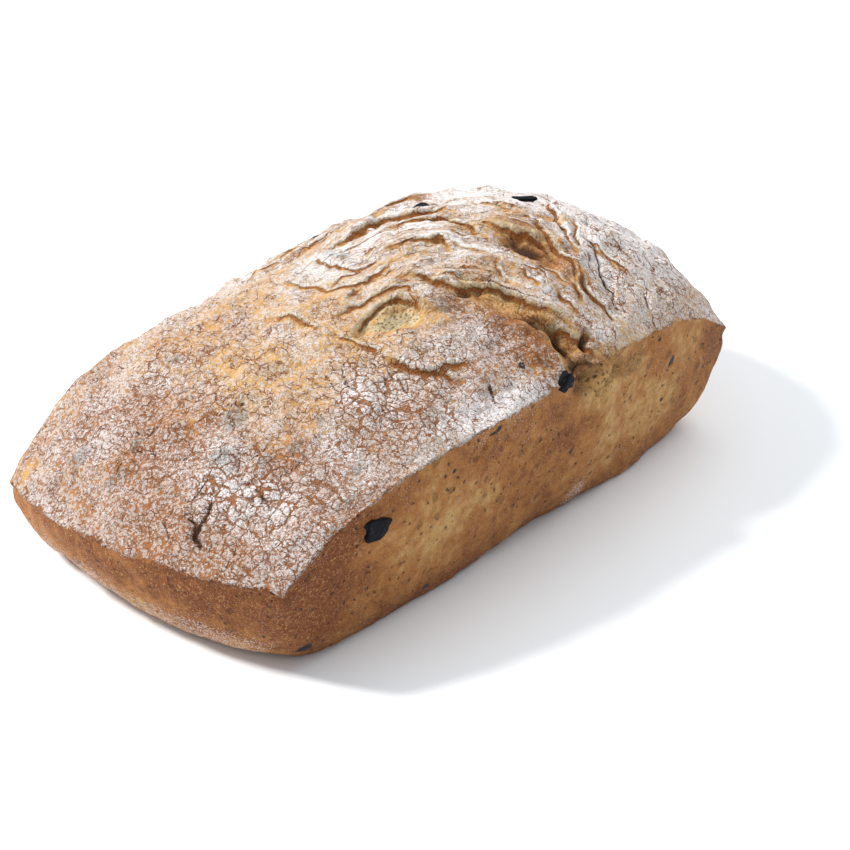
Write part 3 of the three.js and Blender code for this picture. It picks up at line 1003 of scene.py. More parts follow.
    def wrinkles(self) -> list[Fold]:
        """Lays thin laps along the rings of the torn middle, each a stretch of a ring that wanders a little.

        The rings lie a few millimetres apart; a ring's stretches start and end at random.

        Returns:
            The laps.
        """
        random = np.random.default_rng(12)
        centre = self.form.place(CRUST, RINGS.centre)[:2]
        folds = []
        for ring in np.arange(RINGS.first, RINGS.last, RINGS.step):
            angle = random.uniform(*RINGS.begin)
            while angle > RINGS.end:
                span = random.uniform(*RINGS.span) * RINGS.span_radius / ring
                turns = np.radians(np.linspace(angle, angle - span, RINGS.points))
                radius = ring + random.uniform(-RINGS.offset, RINGS.offset)
                radius = radius + np.cumsum(random.uniform(-RINGS.sway, RINGS.sway, RINGS.points))
                x = centre[0] + radius * np.cos(turns)
                y = centre[1] + radius * np.sin(turns) / RINGS.squash
                inside = np.abs(x) < RINGS.limits[0] * self.form.half_length
                inside &= np.abs(y) < RINGS.limits[1] * self.form.half_width
                high = random.uniform(*RINGS.height)
                deep = high * RINGS.depth_share
                if inside.all():
                    path = tuple(zip(x, y))
                    folds.append(Fold(LAP, path, high, RINGS.reach, deep, deep, 0, RINGS.gold, in_plan=True))
                angle -= span + random.uniform(*RINGS.pause)
        return folds

    def fans(self) -> list[Fold]:
        """Lays the thin splits of each fan: rays at uneven angles that start off the middle and sway.

        Returns:
            The splits.
        """
        random = np.random.default_rng(5)
        folds = []
        for fan in FANS:
            centre = self.form.place(CRUST, fan.place)[:2]
            for turn in np.arange(fan.rays) * math.tau / fan.rays:
                turn += random.uniform(-fan.spread, fan.spread)
                ends = random.uniform(*fan.start), random.uniform(*fan.end)
                out = np.linspace(*ends, fan.points) * fan.length
                sway = np.cumsum(random.uniform(-fan.sway, fan.sway, fan.points))
                x = centre[0] + out * math.cos(turn) - sway * math.sin(turn)
                y = centre[1] + out * math.sin(turn) + sway * math.cos(turn)
                depth = random.uniform(*fan.depth)
                folds.append(Fold(SPLIT, tuple(zip(x, y)), depth, fan.reach, in_plan=True))
        return folds

    def ease(self, points: Array, rounds: int) -> None:
        """Softens the crust's steps: each inner point moves half way to the mean of its four neighbours.

        Args:
            points: the skin's points, whose crust is changed.
            rounds: how many times.
        """
        size = (self.cells_across + 1, self.cells_along + 1)
        crust = points[: size[0] * size[1]].reshape(*size, 3)
        for _ in range(rounds):
            mean = (crust[:-2, 1:-1] + crust[2:, 1:-1] + crust[1:-1, :-2] + crust[1:-1, 2:]) / 4
            crust[1:-1, 1:-1] += 0.5 * (mean - crust[1:-1, 1:-1])

    def raise_mark(self, name: str, values: Array, ids: Any = slice(None)) -> None:
        """Sets a mark to the higher of what it holds and the values given, at some points or at all."""
        self.marks[name][ids] = np.maximum(self.marks[name][ids], values)

    def break_fold(self, fold: Fold, points: Array, crust_ids: Array, jitter: Array) -> None:
        """Finds the crust's points near one fold's path and works the fold into them.

        Args:
            fold: the fold.
            points: the skin's points, which are changed.
            crust_ids: the points that are on the crust.
            jitter: a small sideways wander, so that no fold runs smooth.
        """
        path = spline(fold.path if fold.in_plan else [self.form.place(CRUST, p)[:2] for p in fold.path])
        margin = 4 * fold.reach + 4
        low, high = path.min(0) - margin, path.max(0) + margin
        places = self.rest[crust_ids, :2] + jitter[crust_ids]
        near = np.all((places > low) & (places < high), axis=1)
        signed, share, left = follow(places[near], path)
        taper = np.sin(math.pi * np.clip(share, 0, 1)) ** 0.45
        trace = Trace(crust_ids[near], signed, taper, left)
        work = {SPLIT: self.open_split, WELT: self.raise_welt, LAP: self.lay_lap}[fold.kind]
        work(fold, points, trace)

    def open_split(self, fold: Fold, points: Array, trace: Trace) -> None:
        """Sinks a groove along a split: its height times exp(-(distance / reach) squared).

        The split's mark is the distance from its two lips, which part by a share of its height.

        Args:
            fold: the split.
            points: the skin's points, which are changed.
            trace: the points near it.
        """
        groove = np.exp(-((trace.signed / fold.reach) ** 2)) * trace.taper
        points[trace.ids, 2] -= fold.height * groove
        width = fold.height * 0.22 * (trace.taper - 0.2)
        from_lips = np.abs(trace.signed) - width
        self.marks["split"][trace.ids] = np.minimum(self.marks["split"][trace.ids], from_lips)

    def raise_welt(self, fold: Fold, points: Array, trace: Trace) -> None:
        """Raises a cord along a welt: its height times exp(-(distance / reach) squared).

        Args:
            fold: the welt.
            points: the skin's points, which are changed.
            trace: the points near it.
        """
        cord = np.exp(-((trace.signed / fold.reach) ** 2)) * trace.taper
        points[trace.ids, 2] += fold.height * cord
        self.raise_mark("gold", cord * fold.gold, trace.ids)

    def lay_lap(self, fold: Fold, points: Array, trace: Trace) -> None:
        """Lifts a lap's left side by its height and sinks its right side by its dip.

        Both die away from the path as 0.6 of a short exponential plus 0.4 of one over the reach, and a
        smooth step a little over 2 mm wide joins them. The lip moves sideways over the dip by a bell
        curve. The lap mark keeps the signed distance from the nearest lap, and a low lap only counts
        close to its own path.

        Args:
            fold: the lap.
            points: the skin's points, which are changed.
            trace: the points near it.
        """
        ids, signed, taper = trace.ids, trace.signed, trace.taper
        stands = smooth_step(-LAP_STEP, LAP_STEP, signed)
        before, after = np.maximum(-signed, 0), np.maximum(signed, 0)
        lip = fold.height * stands * (0.6 * np.exp(-after / 1.1) + 0.4 * np.exp(-after / fold.reach))
        sunk = fold.dip * (1 - stands) * (0.6 * np.exp(-before / 1.3) + 0.4 * np.exp(-before / fold.reach))
        points[ids, 2] += (lip - sunk) * taper
        edge = np.exp(-((signed - 0.4) / 1.2) ** 2) * taper
        points[ids, :2] -= trace.left * (LEAN_SHARE * fold.lean * edge)[:, None]

        held = self.marks["lap"][ids]
        closer = np.abs(signed) < np.maximum(np.abs(held), min(3, 1.5 * fold.height))
        self.marks["lap"][ids] = np.where(closer, signed, held)
        near = np.exp(-((signed / NEAR_WIDTH) ** 4)) * taper * min(1, (fold.height + fold.dip) / 2)
        bright = np.exp(-((signed - 0.2) / 1.1) ** 2) * taper
        # Painted shade: this mark darkens the sunk side of a lap just beside its lip.
        shade = np.exp(-((signed + 0.7) / 0.9) ** 2) * taper * min(1, fold.dip / 1.8)
        torn = smooth_step(0.6, 0, signed) * np.exp(-np.maximum(-signed - 1, 0) / 4) * taper
        self.raise_mark("near", near, ids)
        self.raise_mark("gold", bright * fold.gold, ids)
        self.raise_mark("shade_and_char", shade, ids)
        self.raise_mark("crumb", torn * fold.bare, ids)

    def shape_walls(self) -> None:
        """Makes the cut walls uneven.

        The edge of the floured skin stands out a little, and the wall is drawn in just below it.
        """
        skin, rest = self.skin, self.rest
        on_wall = skin.region < CRUST.value
        lumps = lumpy(rest, WALL_LUMPS)
        fade = smooth_step(1.0, 0.85, skin.down) * on_wall
        tuck = -TUCK * np.exp(-(((skin.down - TUCK_PLACE) / TUCK_WIDTH) ** 2)) * on_wall
        ledge = LEDGE * np.exp(-((skin.down / LEDGE_WIDTH) ** 2)) * (on_wall | (self.rim_gap() < 0.5))
        lift = lumps * fade * smooth_step(0, 0.06, skin.down) + tuck + ledge * (0.8 + lumps)
        skin.points += self.normal * lift[:, None]

    def rim_gap(self) -> Array:
        """Measures from the rim.

        Returns:
            Millimetres, positive on the crust and negative down the walls.
        """
        skin = self.skin
        inward = (1 - np.maximum(np.abs(skin.along), np.abs(skin.across))) * self.form.half_width
        depth = skin.down * self.form.crust_height(skin.along, skin.across)
        return np.where(skin.region == CRUST.value, inward, -depth)

    def around(self, spot: Spot) -> tuple[Array, Array, Array]:
        """Measures the net from a spot.

        The spot lies in the crust's plan or in its wall's upright plane, turned by its angle.

        Args:
            spot: the spot.

        Returns:
            The distance from the spot's middle in units of its half sizes; the share of the spot that a
            point may take, 0 on the loaf's far faces; and the direction of the distance, in radians.
        """
        offset = self.rest - self.form.place(spot.region, spot.place)
        if spot.region is CRUST:
            first, second, out = offset[:, 0], offset[:, 1], offset[:, 2]
        elif spot.region in (FRONT, BACK):
            first, second, out = offset[:, 0], offset[:, 2], offset[:, 1]
        else:
            first, second, out = offset[:, 1], offset[:, 2], offset[:, 0]
        turn = math.radians(spot.turn)
        a = (first * math.cos(turn) + second * math.sin(turn)) / spot.long
        b = (second * math.cos(turn) - first * math.sin(turn)) / spot.wide
        return np.hypot(a, b), np.exp(-((out / 14) ** 2)), np.arctan2(b, a)

    def shape_spots(self) -> None:
        """Presses in the hollows and paints shade in them, raises the lumps of olive and marks the bits of
        olive.

        A hollow takes its depth times exp(-r cubed), with r in its half sizes, and wanders with the noise.
        """
        points, rest = self.skin.points, self.rest
        wander = rough(rest, 4, 3, 131)
        for spot in HOLLOWS:
            radius, share, _ = self.around(spot)
            pit = np.exp(-(np.maximum(radius + 0.28 * wander, 0) ** 3)) * share
            points -= self.normal * (spot.amount * pit)[:, None]
            # Painted shade: each hollow is darkened, more where it is deeper.
            deep = min(1.35, spot.amount / 3.6)
            self.raise_mark("shade_and_char", pit * deep * 1.15)
            self.raise_mark("gold", pit * 0.6)
        for spot in CRUMB_AREAS:
            radius, share, _ = self.around(spot)
            shown = spot.amount * np.exp(-(np.maximum(radius + 0.3 * wander, 0) ** 4)) * share
            self.raise_mark("crumb", shown)
        grey = np.zeros(len(points))
        for spot in OLIVE_LUMPS:
            radius, share, _ = self.around(spot)
            dome = np.exp(-(np.maximum(radius + 0.2 * wander, 0) ** 3)) * share
            points += self.normal * (spot.amount * dome)[:, None]
            grey = np.maximum(grey, dome)
        black = np.full(len(points), FAR)
        for spot in OLIVE_BITS:
            radius, share, turn = self.around(spot)
            outline = 1 + 0.2 * np.sin(3 * turn + 9 * spot.place[0]) + 0.3 * wander
            gap = (radius - outline) * min(spot.long, spot.wide) + FAR * (1 - share)
            black = np.minimum(black, gap + 1.2 * (1 - spot.amount))
        self.marks["grey"] = grey
        self.marks["black"] = black

    def mark_flour(self) -> None:
        """Works out how much flour each point of the crust holds, before the shader's fine grain."""
        flour = np.full(len(self.rest), FLOUR_EVERYWHERE)
        for spot in FLOUR_AREAS:
            radius, share, _ = self.around(spot)
            flour += spot.amount * np.exp(-(radius**2)) * share
        flour += 0.1 * rough(self.rest, 14, 2, 151)
        streaks = rough(self.flow, 7, 3, 157)
        flour += 0.2 * self.torn * streaks
        self.marks["flour"] = flour
        dry = np.zeros(len(self.rest))
        for spot in DRY_AREAS:
            radius, share, _ = self.around(spot)
            dry = np.maximum(dry, spot.amount * np.exp(-(radius**4)) * share)
        self.marks["dry"] = dry
        self.marks["rim"] = self.rim_gap() + 0.5 * rough(self.rest, 6, 3, 163)

    def mark_baked(self) -> None:
        """Works out how dark each point is baked: darker low on the walls and in the baked areas."""
        baked = 0.35 + 0.16 * rough(self.rest, 22, 3, 173)
        baked += 0.2 * smooth_step(0.55, 1.0, self.skin.down)
        for spot in BAKED_AREAS:
            radius, share, _ = self.around(spot)
            baked += spot.amount * np.exp(-(radius**2)) * share
        self.marks["baked"] = baked

    def flat_map(self) -> Array:
        """Lays the skin out flat: the crust in the middle, a wall along each edge, the base below them.

        A wall is drawn outwards from its edge by its own length down. The base is drawn smaller.

        Returns:
            The map's coordinates for each corner of each face, from 0 to 1.
        """
        skin, form = self.skin, self.form
        plan = form.plan(skin.along, skin.across, form.half_length, form.half_width)
        length = WALL_STRETCH * form.crust_height(skin.along, skin.across) * skin.down
        width = 2 * (form.half_length + END_ROOM) + MAP_MARGIN
        corners = np.concatenate([skin.quads.ravel(), skin.tip.ravel()])
        tip_region = np.full(skin.tip.size, Region.UNDERSIDE.value)
        region = np.concatenate([np.repeat(skin.face_region[: len(skin.quads)], 4), tip_region])
        spot = plan[corners]
        wall = region < CRUST.value
        box = np.array([form.half_length, form.half_width])
        out = OUTWARD[np.where(wall, region, 0)]
        edge = np.where(out != 0, out * box, spot)
        spot = np.where(wall[:, None], edge + out * length[corners][:, None] * WALL_SCALE, spot)
        under = region == Region.UNDERSIDE.value
        drop = form.half_width + SIDE_ROOM + BASE_SCALE * form.half_width + BASE_GAP
        base = skin.points[corners][:, :2] * BASE_SCALE - (0, drop)
        spot = np.where(under[:, None], base, spot)
        top = form.half_width + SIDE_ROOM + MAP_MARGIN
        return np.column_stack([spot[:, 0] / width + 0.5, 1 - (top - spot[:, 1]) / width])

    def write(self) -> bpy.types.Object:
        """Writes the net, the marks and the map into a mesh.

        Returns:
            The mesh's object.
        """
        skin = self.skin
        mesh = smooth_mesh("loaf_skin", skin.points, skin.quads.tolist() + skin.tip.tolist())
        for name, values in self.marks.items():
            mark = mesh.attributes.new(name, "FLOAT", "POINT")
            mark.data.foreach_set("value", values.astype(np.float32))
        flow = mesh.attributes.new("flow", "FLOAT_VECTOR", "POINT")
        flow.data.foreach_set("vector", (self.flow * MM).astype(np.float32).ravel())
        layer = mesh.uv_layers.new(name="OFBake")
        layer.data.foreach_set("uv", self.flat_map().astype(np.float32).ravel())
        return stand("loaf_crust", mesh)


# ---------------------------------------------------------------- shader maths


class Value:
    """A number that changes over a surface: a socket whose arithmetic adds Math nodes."""

    def __init__(self, tree: "ShaderTree", socket: bpy.types.NodeSocket) -> None:
        """Wraps a socket of a shader tree."""
        self.tree, self.socket = tree, socket

    def math(self, operation: str, *others: Any, swap: bool = False) -> "Value":
        """Adds one Math node on this value and others, the other first if swap."""
        terms = (self, *others)
        return self.tree.math(operation, *(terms[::-1] if swap else terms))

    def __add__(self, other: Any) -> "Value":
        """The sum."""
        return self.math("ADD", other)

    __radd__ = __add__

    def __sub__(self, other: Any) -> "Value":
        """The difference."""
        return self.math("SUBTRACT", other)

    def __rsub__(self, other: Any) -> "Value":
        """The difference, from the other."""
        return self.math("SUBTRACT", other, swap=True)

    def __mul__(self, other: Any) -> "Value":
        """The product."""
        return self.math("MULTIPLY", other)

    __rmul__ = __mul__

    def over(self, low: float, high: float) -> "Value":
        """Rises smoothly from 0 at low to 1 at high, or falls if low is the higher."""
        return self.tree.rise(self, low, high)

    def band(self, middle: float, half: float) -> "Value":
        """Rises smoothly to 1 at the middle of a band and is 0 outside it."""
        return (self - middle).math("ABSOLUTE").over(half, half * 0.3)


class ShaderTree:
    """A material's nodes, made one at a time."""

    def __init__(self, material: bpy.types.Material) -> None:
        """Empties the material's tree and starts afresh."""
        material.use_nodes = True
        self.nodes, self.links = material.node_tree.nodes, material.node_tree.links
        self.nodes.clear()
        self.object_place = self.node("ShaderNodeTexCoord").outputs["Object"]

    def node(self, kind: str, settings: dict[str, Any] | None = None,
             inputs: dict[Any, Any] | None = None) -> bpy.types.Node:
        """Adds a node.

        Args:
            kind: the node's type.
            settings: its properties, which are set first.
            inputs: what its sockets hold, by name or number: a value, a socket or a Value.

        Returns:
            The node.
        """
        node = self.nodes.new(kind)
        for name, setting in (settings or {}).items():
            setattr(node, name, setting)
        for key, given in (inputs or {}).items():
            socket = given.socket if isinstance(given, Value) else given
            if isinstance(socket, bpy.types.NodeSocket):
                self.links.new(socket, node.inputs[key])
            else:
                node.inputs[key].default_value = socket
        return node

    def math(self, operation: str, *terms: Any) -> Value:
        """Adds a Math node."""
        node = self.node("ShaderNodeMath", {"operation": operation}, dict(enumerate(terms)))
        return Value(self, node.outputs[0])

    def rise(self, value: Value, low: float, high: float) -> Value:
        """A smooth step from 0 at low to 1 at high; it falls if low is the higher.

        Args:
            value: what is stepped.
            low, high: where the step starts and ends.

        Returns:
            The step's value, from 0 to 1.
        """
        ends = {"From Min": min(low, high), "From Max": max(low, high)}
        ends |= {"To Min": float(low > high), "To Max": float(low <= high)}
        node = self.node(
            "ShaderNodeMapRange", {"interpolation_type": "SMOOTHSTEP"}, {"Value": value, **ends}
        )
        return Value(self, node.outputs["Result"])

    def mark(self, name: str) -> Value:
        """Reads one of the loaf's marks."""
        node = self.node("ShaderNodeAttribute", {"attribute_name": name})
        return Value(self, node.outputs["Fac"])

    def flow(self) -> bpy.types.NodeSocket:
        """The coordinates that run along the torn middle's rings."""
        return self.node("ShaderNodeAttribute", {"attribute_name": "flow"}).outputs["Vector"]

    def noise(self, size: float, detail: float = 3, roughness: float = 0.55, place: Any = None) -> Value:
        """Noise around 0.

        Args:
            size: how wide its lumps are, in millimetres.
            detail: how many finer octaves it has.
            roughness: how strong those are.
            place: the coordinates, if they aren't the object's own.

        Returns:
            The noise, from about -0.5 to 0.5.
        """
        inputs = {"Vector": place or self.object_place, "Scale": 1 / (size * MM), "Detail": detail,
                  "Roughness": roughness, "W": 0}
        node = self.node("ShaderNodeTexNoise", {"noise_dimensions": "4D"}, inputs)
        return Value(self, node.outputs[0]) - 0.5

    def bent(self, size: float, by: float, stretch: Colour = (1, 1, 1)) -> bpy.types.NodeSocket:
        """Object coordinates pushed about by noise.

        Args:
            size: the size of the noise's lumps, in millimetres.
            by: how far it pushes, in millimetres.
            stretch: what the coordinates are multiplied by at the end.

        Returns:
            The pushed coordinates.
        """
        noise = self.node(
            "ShaderNodeTexNoise", None,
            {"Vector": self.object_place, "Scale": 1 / (size * MM), "Detail": 3},
        )
        centred = self.vector_math("SUBTRACT", {0: noise.outputs["Color"], 1: (0.5, 0.5, 0.5)})
        scaled = self.vector_math("SCALE", {0: centred, "Scale": 2 * by * MM})
        added = self.vector_math("ADD", {0: self.object_place, 1: scaled})
        return self.vector_math("MULTIPLY", {0: added, 1: stretch})

    def vector_math(self, operation: str, inputs: dict[Any, Any]) -> bpy.types.NodeSocket:
        """Adds a Vector Math node."""
        return self.node("ShaderNodeVectorMath", {"operation": operation}, inputs).outputs[0]

    def cells(self, size: float, place: Any, feature: str) -> bpy.types.Node:
        """Cells about size millimetres across; distances come out in cells."""
        inputs = {"Vector": place, "Scale": 1 / (size * MM)}
        return self.node("ShaderNodeTexVoronoi", {"feature": feature}, inputs)

    def from_edges(self, size: float, place: Any) -> Value:
        """The distance from the nearest edge between cells, in cells."""
        return Value(self, self.cells(size, place, "DISTANCE_TO_EDGE").outputs["Distance"])

    def from_middles(self, size: float, place: Any) -> Value:
        """The distance from the nearest middle of a cell, in cells."""
        return Value(self, self.cells(size, place, "F1").outputs["Distance"])

    def blend(self, share: Any, first: Any, second: Any) -> bpy.types.NodeSocket:
        """Mixes two colours, each a colour or a socket."""
        inputs = {0: share, 6: self.whole(first), 7: self.whole(second)}
        return self.node("ShaderNodeMix", {"data_type": "RGBA"}, inputs).outputs[2]

    @staticmethod
    def whole(colour: Any) -> Any:
        """Gives a colour its fourth number. A socket stays as it is."""
        return (*colour, 1) if isinstance(colour, tuple) else colour

    def surface(self, colour: Any, roughness: Any, specular: float = 0.5, height: Any = None) -> None:
        """Ends the tree with the surface itself.

        Args:
            colour: a colour or a socket.
            roughness: a number or a Value.
            specular: how strongly its face reflects; 0.5 is a common value.
            height: its height in millimetres, if it is bumpy.
        """
        inputs = {"Base Color": self.whole(colour), "Roughness": roughness, "Specular IOR Level": specular}
        if height is not None:
            bump = self.node("ShaderNodeBump", None, {"Strength": 1.0, "Distance": MM, "Height": height})
            inputs["Normal"] = bump.outputs[0]
        shader = self.node("ShaderNodeBsdfPrincipled", None, inputs)
        self.node("ShaderNodeOutputMaterial", None, {"Surface": shader.outputs[0]})


def linear(red: int, green: int, blue: int) -> Colour:
    """Turns a colour given in screen values, 0 to 255, into the linear values that shaders take."""
    return tuple(
        c / 12.92 if c <= 0.04045 else ((c + 0.055) / 1.055) ** 2.4
        for c in (red / 255, green / 255, blue / 255)
    )


# ---------------------------------------------------------------- finishes


@dataclass(frozen=True)
class CrustFinish:
    """Baked crust, flour and bare dough, told apart by the loaf's marks.

    The bare numbers in the two methods that mix the parts are the sizes, strengths and thresholds of
    noise. They were tuned.
    """

    flour: Colour = linear(228, 219, 215)
    thin_flour: Colour = linear(202, 190, 180)
    golden: Colour = linear(206, 158, 98)
    cord: Colour = linear(216, 192, 154)
    brown: Colour = linear(154, 96, 50)
    crack: Colour = linear(148, 88, 40)
    # Painted shade for dips, hollows, pinholes, dents, crumb holes and split depths; also the walls' random
    # dark grain.
    deep: Colour = linear(62, 36, 18)
    crumb: Colour = linear(212, 194, 154)
    # Painted shade in the holes of torn crumb.
    crumb_hole_shade: Colour = linear(160, 130, 84)
    wall_light: Colour = linear(208, 162, 102)
    wall: Colour = linear(173, 111, 54)
    wall_brown: Colour = linear(126, 68, 30)
    olive: Colour = linear(22, 21, 27)
    olive_worn: Colour = linear(52, 44, 42)
    olive_grey: Colour = linear(158, 164, 164)
    olive_shade: Colour = linear(82, 82, 70)

    def material(self) -> bpy.types.Material:
        """Makes the loaf's one material: the crust above the rim, the wall below it, and bits of olive.

        Returns:
            The material.
        """
        material = bpy.data.materials.new("floured_crust")
        t = ShaderTree(material)
        top = self.crust_parts(t)
        side = self.wall_parts(t)
        ragged = t.mark("rim") + t.noise(1.2, 3) * 1.6 + t.noise(4, 2) * 1.0
        on_wall = ragged.over(0.15, -0.15)
        colour = t.blend(on_wall, top[0], side[0])
        height = top[1] + (side[1] - top[1]) * on_wall

        bit = (t.mark("black") + t.noise(0.9, 2) * 0.8).over(0.15, -0.25)
        dusted = t.noise(1.0, 3).over(0.06, 0.2) * (1 - on_wall)
        skin = t.blend(t.noise(2, 2).over(-0.2, 0.3), self.olive, self.olive_worn)
        colour = t.blend(bit, colour, t.blend(dusted, skin, self.flour))
        roughness = (0.86 - on_wall * 0.14) * (1 - bit) + bit * (0.42 + 0.4 * dusted)
        t.surface(colour, roughness, 0.3, height)
        return material

    def crust_parts(self, t: ShaderTree) -> tuple[Any, Value]:
        """The floured crust's colour and its height in millimetres.

        A faint veil of flour lies over the bare crust. Small cells, each with a chance of its own, add
        sprinkled clumps, and solid white lies where what has settled there plus the noise passes a
        threshold. Two sizes of cell have edges that open into chinks and cracks where a slower noise is
        high. A lap shows a pale lip on the side that stands up and a crevice on the other. Painted shade
        darkens the crevices, the laps' dips, the hollows, the crumb's holes and the depths of the splits.

        Args:
            t: the material's tree.

        Returns:
            The colour and the height.
        """
        flour, gold, baked = t.mark("flour"), t.mark("gold"), t.mark("baked")
        shade_and_char, crumb, split, dry = t.mark("shade_and_char"), t.mark("crumb"), t.mark("split"), t.mark("dry")
        lap, near = t.mark("lap"), t.mark("near")
        grain, speck, crumbs = t.noise(0.42, 2), t.noise(0.95, 3, 0.65), t.noise(2.0, 3, 0.6)
        patch, mottle = t.noise(10, 3), t.noise(3.6, 3)
        streak = t.noise(1.3, 3, 0.6, t.flow())
        fine_place = t.bent(1.6, 0.6)
        fine = t.from_edges(1.6, fine_place) * 1.6
        plate = t.from_edges(3.9, t.bent(3.4, 2.2, (1.2, 0.82, 1))) * 3.8

        # The torn middle's fine lines, and the laps' lips and crevices; painted shade darkens a crevice.
        line = (t.noise(3.4, 2, 0.5, t.flow()).math("ABSOLUTE") + speck * 0.06).over(0.045, 0.0)
        line = line * (t.mark("torn") + mottle * 1.2 + patch).over(0.45, 0.95)
        ragged = lap + speck * 0.9
        strong = (near + mottle * 0.7 + patch * 0.5).over(0.3, 0.85)
        shaded_crevice = ragged.band(-0.4, 0.6) * strong
        lip = ragged.band(0.6, 0.95) * strong

        # What flour has settled, and how it shows: a veil, sprinkled clumps and solid white.
        cover = flour + patch * 0.4 + mottle * 0.3 + streak * 0.35 + lip * 0.2
        cover = cover - gold * 0.2 - shade_and_char * 0.7 - crumb * 0.9 - shaded_crevice * 0.5
        blob = t.cells(0.85, t.bent(1.1, 0.35), "F1")
        chance = Value(t, blob.outputs["Color"])
        blob = Value(t, blob.outputs["Distance"])
        sprinkled = cover * 0.85 + chance * 1.1 - blob * 0.6 + crumbs * 0.6 + grain * 0.7 + mottle * 0.2
        sprinkled = sprinkled.over(0.6, 0.82)
        white = (cover + speck * 1.0 + crumbs * 0.5 + grain * 0.6).over(0.55, 1.0)
        veil = (cover + speck * 0.4).over(0.0, 0.9)

        # Cracks between plates of flour, finer chinks, and the real splits; shut is 0 where any is open.
        plate_gap = mottle * 0.8 + patch * 0.6 + dry * 0.2 + crumbs * 0.4 - t.mark("torn") * 0.08
        gap = (plate + speck * 0.35 + grain * 0.25 - plate_gap).over(0.12, -0.08)
        fine_gap = mottle * 0.5 + patch * 0.4 + dry * 0.08 + crumbs * 0.3 - 0.05
        chink = (fine + grain * 0.35 - fine_gap).over(0.12, -0.08)
        open_split = (split + speck * 0.5 + grain * 0.3).over(0.3, -0.15)
        shut = (1 - line * 0.5) * (1 - gap * 0.92) * (1 - chink * 0.8) * (1 - open_split)

        # The bare crust, its torn crumb, and painted shade in holes, dips, hollows, crevices and splits.
        toast = baked + mottle * 0.7 + patch * 0.7 + speck * 0.7 + grain * 0.3
        bare = t.blend(toast.over(0.1, 0.7), self.golden, self.brown)
        bare = t.blend(lip * 0.7 + gold * 0.2, bare, self.cord)
        holes = t.from_middles(1.2, fine_place).over(0.15, 0.5)
        # Torn crumb, with painted shade in its holes.
        torn = t.blend(holes, self.crumb_hole_shade, self.crumb)
        bare = t.blend((crumb + speck * 0.8 + mottle * 1.2).over(0.25, 0.85), bare, torn)
        # Painted shade in the laps' dips and in the hollows.
        bare = t.blend((shade_and_char * 0.9 + speck * 0.5 + grain * 0.2).over(0.3, 1.1), bare, self.deep)
        # Bare crust in the cracks between flour plates, and painted shade along the laps' crevices.
        bare = t.blend((gap * 0.8 + chink * 0.6 + shaded_crevice * 0.8 + line * 0.5).over(0, 1), bare, self.crack)
        bare = t.blend((split + speck * 0.5 + grain * 0.3).over(0.35, 0.0), bare, self.crack)
        # Painted shade in the depth of each open split.
        bare = t.blend(open_split * open_split, bare, self.deep)

        # The flour over it, greyed where olive lies under it.
        thick = (cover + speck * 0.6 + grain * 1.0).over(0.3, 1.0)
        powder = t.blend(thick, self.thin_flour, self.flour)
        lump = (t.mark("grey") + speck * 0.8).over(0.3, 0.9) * 0.5
        powder = t.blend(lump, powder, self.olive_grey)
        bare = t.blend(lump * 0.8, bare, self.olive_shade)
        share = veil * 0.04 + sprinkled * 0.5 + white * (0.16 + 0.34 * thick)
        colour = t.blend(share * shut, bare, powder)

        height = sprinkled * 0.16 + white * 0.16 + fine.over(0, 0.5) * 0.1
        height = height + plate.over(0, 0.9) * 0.24 * (0.4 + dry)
        height = height + grain * 0.14 + speck * 0.3 + streak * 0.3 + crumbs * 0.6
        height = height + ragged.over(-0.35, 0.35) * strong * 0.5 - shaded_crevice * 0.3
        height = height - line * 0.45
        return colour, height - gap * 0.35 - chink * 0.15 - open_split * 0.7 + crumb * holes * 0.5

    def wall_parts(self, t: ShaderTree) -> tuple[Any, Value]:
        """The bare wall's colour and its height in millimetres.

        Mottled dough has small pinholes, wider dents, flecks of olive, motes and a haze of flour, and is
        holed where crumb is torn. Painted shade darkens its pinholes, dents, hollows and the crumb's holes.

        Args:
            t: the material's tree.

        Returns:
            The colour and the height.
        """
        baked = t.mark("baked")
        mottle, fine, grain = t.noise(3.4, 4), t.noise(1.2, 4, 0.65), t.noise(0.5, 2)
        patch = t.noise(13, 3)
        depth = baked + patch * 1.2 + mottle * 1.2 + fine * 1.3 + grain * 0.6
        colour = t.blend(depth.over(-0.05, 0.42), self.wall_light, self.wall)
        colour = t.blend(depth.over(0.38, 0.95), colour, self.wall_brown)
        uneven = fine * 1.6 + grain * 1.3
        colour = t.blend(uneven.over(0.0, 0.4) * 0.6, colour, self.wall_light)
        colour = t.blend(uneven.over(0.0, -0.45) * 0.65, colour, self.deep)
        pinhole = (t.from_middles(3.4, t.bent(3, 1.0)) + fine * 0.3).over(0.18, 0.05)
        dent = t.from_middles(8, t.bent(6, 2.5))
        dent = (dent + fine * 0.2 + patch * 0.35).over(0.22, 0.04)
        # Painted shade in the pinholes and dents.
        colour = t.blend(pinhole * 0.7 + dent * 0.22, colour, self.deep)
        fleck = t.from_middles(7, t.bent(2.4, 1.6, (1, 1, 0.8)))
        fleck = (fleck + fine * 0.2 + t.noise(9, 2) * 0.35).over(0.1, 0.05)
        colour = t.blend(fleck * 0.85, colour, self.olive)
        powder = (t.mark("flour") - FLOUR_EVERYWHERE).over(0, 0.5)
        mote = t.from_middles(0.8, t.bent(1.2, 0.5))
        dust = (mote + fine * 0.5 - powder * 0.35 - t.noise(12, 2) * 0.3 - mottle * 0.2).over(0.2, 0.04)
        haze = (powder * 0.5 + mottle * 0.6 + fine * 1.2 - 0.1).over(0, 0.8)
        colour = t.blend((dust * 0.45 + haze * 0.22).over(0, 1), colour, self.flour)
